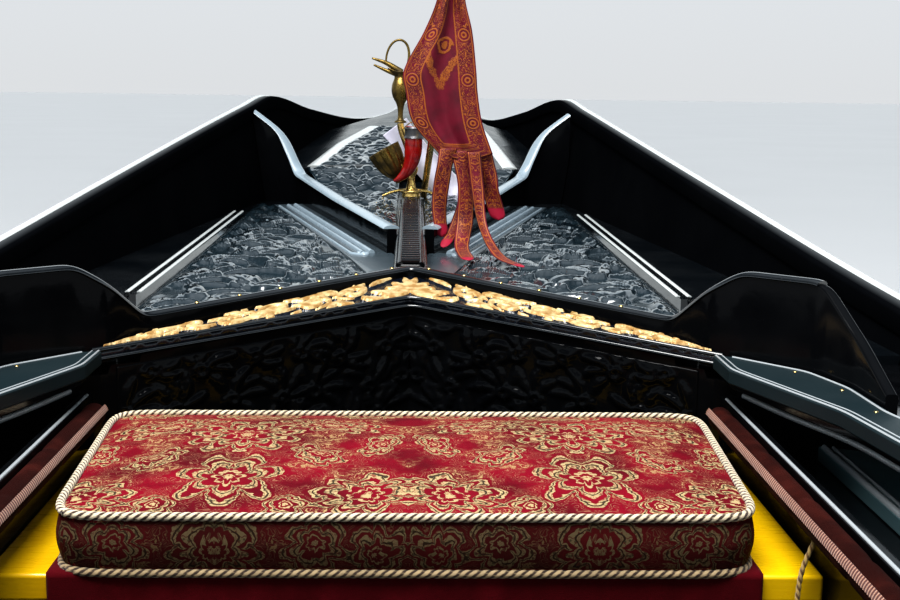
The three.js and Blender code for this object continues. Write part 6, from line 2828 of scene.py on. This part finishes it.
@dataclass
class Stern:
    """After deck, hatch, footboard, oarlock and oar, and the irons at both ends."""

    hinge_places: tuple[float, float] = (-0.115, 0.115)
    hinge_line: tuple[float, float] = (-2.170, 0.755)

    def build(self) -> None:
        """Makes the stern's pieces."""
        MAKER.softened("aft_deck", TOPS, 0.0015, 2)
        MAKER.softened("stern_bulkhead", DEEP_BLACK, 0.002, 2)
        MAKER.softened("footboard", WALNUT, 0.003, 2)
        MAKER.softened("oarlock_block", BLACK, 0.004, 3)
        MAKER.softened("oarlock", WALNUT_UP, 0.005, 4)
        MAKER.softened("bow_iron", STEEL, 0.002, 2)
        MAKER.softened("stern_iron", STEEL, 0.002, 2)
        hatch = Maker("stern_hatch")
        hatch.softened("stern_hatch", TOPS, 0.003, 3)
        hatch.piece("hatch_ring_pull", self.ring_pull(), BRASS)
        hatch.piece("hatch_hinge_straps", self.straps(), BRASS)
        MAKER.piece("hatch_hinge_posts", self.posts(), BRASS)
        Maker("oar").piece("oar_shaped", self.oar(), WALNUT, ["oar"], edge=Edge.ROUND)
        MAKER.piece("locker_door_mouldings", self.door(), BLACK)

    @staticmethod
    def oar() -> Shape:
        """The oar along its own length: a round loom that flattens into the blade.

        Each section is an ellipse whose half-width and half-thickness come from a smooth curve
        through the CAD oar's, turned and laid in the oarlock's notch.

        Returns:
            The oar, in its place.
        """
        table = [
            [-1250, 0.5, 0.5], [-1248, 10, 10], [-1235, 15, 15], [-1090, 17, 17], [-200, 21, 21],
            [200, 21, 21], [1500, 20, 20], [1900, 42, 14], [2500, 66, 10], [2920, 75, 7], [2948, 60, 5],
            [2950, 1, 0.5]]
        x = np.unique(np.concatenate([np.linspace(-1250, 2950, 200), [-1248, -1240, 2930, 2940, 2948]]))
        size = np.maximum(spline(table, x), 0.4) * MM
        ring = circle(28)
        rings = np.stack([
            np.repeat(x[:, None] * MM, 28, 1), size[:, :1] * ring[:, 0], size[:, 1:] * ring[:, 1]], -1)
        lay = (Matrix.Translation((0.520, -2.420, 1.120)) @ Matrix.Rotation(-1.2, 4, "Z")
               @ Matrix.Rotation(0.262, 4, "Y") @ Matrix.Rotation(0.9, 4, "X"))
        return lofted(rings).moved(lay)

    @staticmethod
    def ring_pull() -> Shape:
        """A brass ring lying on a small plate, for lifting the hatch.

        Returns:
            The plate and the ring.
        """
        plate_path = np.array([[-0.03, -2.49, 0.7630], [0.0, -2.49, 0.7630], [0.03, -2.49, 0.7630]])
        plate_shape = carried(plate_path, rounded_section(0.034, 0.002, 0.0008))
        loop = circle(41) * 0.02 + [0.0, -2.49]
        loop[-1] = loop[0]
        ring = tube(np.column_stack([loop, np.full(41, 0.7672)]), 0.0028, 10)
        return plate_shape + ring

    def posts(self) -> Shape:
        """The hinges' fixed halves: a foot on the deck that turns up to a barrel on the hinge line.

        Returns:
            Both hinges' halves.
        """
        side = mm([[-2170, 717.6], [-2125, 715.7], [-2125, 718.4], [-2157, 719.8], [-2164, 727], [-2164, 756],
                   [-2170, 756]])
        parts = []
        for x in self.hinge_places:
            across = np.array([x - 0.017, x + 0.017])
            parts.append(lofted(np.stack([np.stack([np.full(len(side), k), *side.T], -1) for k in across])))
            barrel = np.array([[x + k, *self.hinge_line] for k in (-0.022, 0.0, 0.022)])
            parts.append(tube(barrel, 0.0076, 16))
            feet = np.array([[x + k, -2.136, 0.7186] for k in (-0.009, 0.009)])
            parts.append(studs(feet, 0.0036, 0.0014))
        return joined(parts)

    def straps(self) -> Shape:
        """The hinges' moving halves: straps screwed on the lid's top, their ends over the barrels.

        Returns:
            Both hinges' halves.
        """
        parts = []
        for x in self.hinge_places:
            strap = np.array([[x, y, 0.7629] for y in (-2.240, -2.205, -2.1705)])
            parts.append(carried(strap, rounded_section(0.034, 0.0024, 0.0008)))
            heads = np.array([[x + k, y, 0.7652] for y in (-2.228, -2.200) for k in (-0.009, 0.009)])
            parts.append(studs(heads, 0.0036, 0.0014))
        return joined(parts)

    @staticmethod
    def door() -> Shape:
        """Mouldings that frame the locker door on the stern bulkhead's fore face.

        Returns:
            The moulding.
        """
        y = -1.7015
        loop = eased_loop(mm([[-260, 150], [260, 150], [260, 560], [-260, 560]]), 0.006, 0.02)
        ring = np.vstack([loop, loop[:1]])
        path = np.column_stack([ring[:, 0], np.full(len(ring), y), ring[:, 1]])
        return carried(path, bead_section(0.014, 0.006), up=(0, 1, 0))


# Studio


@dataclass
class Studio:
    """Camera, light and floor."""

    eye: tuple[float, float, float] = (0.0, -0.95, 1.02)
    right: tuple[float, float, float] = (0.99948948, -0.02882704, 0.013776)
    up: tuple[float, float, float] = (-0.00889382, 0.16310037, 0.98656939)
    ahead: tuple[float, float, float] = (0.03068675, 0.98618825, -0.16276072)
    lens: float = 52.0
    reach: float = 90.0

    def build(self) -> None:
        """Makes the camera, the lamps, the world and the floor."""
        lens = bpy.data.cameras.new("photo_view")
        lens.lens = self.lens
        lens.sensor_width = 36.0
        lens.clip_start = 0.02
        lens.clip_end = 200.0
        camera = linked("photo_view", lens)
        turn = Matrix((self.right, self.up, tuple(-c for c in self.ahead))).transposed()
        camera.matrix_world = Matrix.Translation(self.eye) @ turn.to_4x4()
        bpy.context.scene.camera = camera
        self.backdrop()
        self.lamp("overhead", (-0.5, -0.4, 4.0), (0.0, 1.4, 0.8), 2.4, 170)
        sun = bpy.data.lights.new("soft_key", "SUN")
        sun.energy = 2.0
        sun.angle = math.radians(35)
        tilt = math.radians(14)
        key = linked("soft_key", sun)
        key.matrix_world = Matrix.Rotation(tilt, 4, "X") @ Matrix.Rotation(-tilt, 4, "Y")
        self.floor()
        bpy.context.scene.view_settings.view_transform = "Standard"
        bpy.context.scene.view_settings.look = "Medium High Contrast"

    @staticmethod
    def backdrop() -> None:
        """The world: pale at eye level, dim above it, and bright overhead like a soft ceiling."""
        sky = Dress("studio_backdrop", world=True)
        way = sky.node("ShaderNodeTexCoord", out="Generated")
        _, _, rise = sky.parts(way)
        stops = [(0.0, (0.74, 0.76, 0.78)), (0.08, (0.76, 0.79, 0.82)), (0.14, (0.94, 1.0, 1.0)),
                 (0.42, (0.80, 0.90, 0.98)), (0.50, (0.07, 0.08, 0.09)), (0.66, (0.07, 0.08, 0.09)),
                 (0.80, (0.42, 0.47, 0.52)), (1.0, (0.70, 0.75, 0.80))]
        colour = sky.node("ShaderNodeValToRGB", {"stops": stops}, {"Fac": rise})
        bpy.context.scene.world = sky.settle(Color=colour, Strength=0.84)

    @staticmethod
    def lamp(name: str, place: Sequence[float], target: Sequence[float], size: float, power: float) -> None:
        """A square soft lamp that looks at a target.

        Args:
            name: The lamp's name.
            place: Where it hangs.
            target: The point that it faces.
            size: Edge length.
            power: Watts.
        """
        light = bpy.data.lights.new(name, "AREA")
        light.size = size
        light.energy = power
        light.color = (1.0, 0.98, 0.95)
        made = linked(name, light)
        back = unit(np.array(place, float) - np.array(target, float))
        side = unit(np.cross([0.0, 0.0, 1.0], back))
        turn = Matrix((side, np.cross(back, side), back)).transposed()
        made.matrix_world = Matrix.Translation(place) @ turn.to_4x4()

    def floor(self) -> None:
        """A wide floor at the waterline, open where the hull stands in it.

        Its two inner edges follow the hull's half-breadth at the waterline, and its outer edges
        lie as far out as the reach. Fore and aft of the hull both halves meet on the middle line.
        """
        inside = np.linspace(-3.66, 3.745, 180)
        y = np.concatenate([[-self.reach, -3.6601], inside, [3.7451, self.reach]])
        level = np.full_like(y, WATERLINE)
        centre = LINES.at(np.clip(y, -5.2, 5.2))[0]
        half = np.where((y >= inside[0]) & (y <= inside[-1]), LINES.half(y.clip(-5, 5), level), 0)
        halves = []
        for side in (1, -1):
            inner = np.column_stack([centre + side * half, y, level])
            outer = np.column_stack([np.full_like(y, side * self.reach), y, level])
            halves.append(surface(np.stack([inner, outer], axis=1)))
        shape = joined(halves)
        mesh = bpy.data.meshes.new("studio_floor")
        mesh.from_pydata(shape.points.tolist(), [], shape.faces)
        work = bmesh.new()
        work.from_mesh(mesh)
        for face in work.faces:
            if face.normal.z < 0:
                face.normal_flip()
        work.to_mesh(mesh)
        work.free()
        mesh.materials.append(PALE_FLOOR.material())
        floor = linked("studio_floor", mesh)


@dataclass
class TieCord:
    """The golden cord that hangs from the starboard roll."""

    route: tuple[tuple[float, ...], ...] = (
        (375.4, 190, 608.4), (364, 189, 570), (362, 188, 500), (361, 188, 440))
    radius: float = 0.0025
    pitch: float = 0.016

    def build(self) -> None:
        line = smooth(self.route, 90)
        shape = twisted(line, self.radius, self.pitch, 2, count=18)
        cord = MAKER.piece("roll_tie_cord", shape, GOLD_CORD, ["roll_tie"], edge=Edge.ROUND)


def main() -> None:
    """Builds the boat from the camera and the cord on."""
    logging.basicConfig(level=logging.INFO, format="%(message)s")
    Studio().build()
    TieCord().build()
    for part in (Hull(), Bow(), CockpitSides(), Seats(), Ornaments(), Cloths(), Stern()):
        part.build()
        LOG.info("%s done", type(part).__name__)


if __name__ == "__main__":
    main()
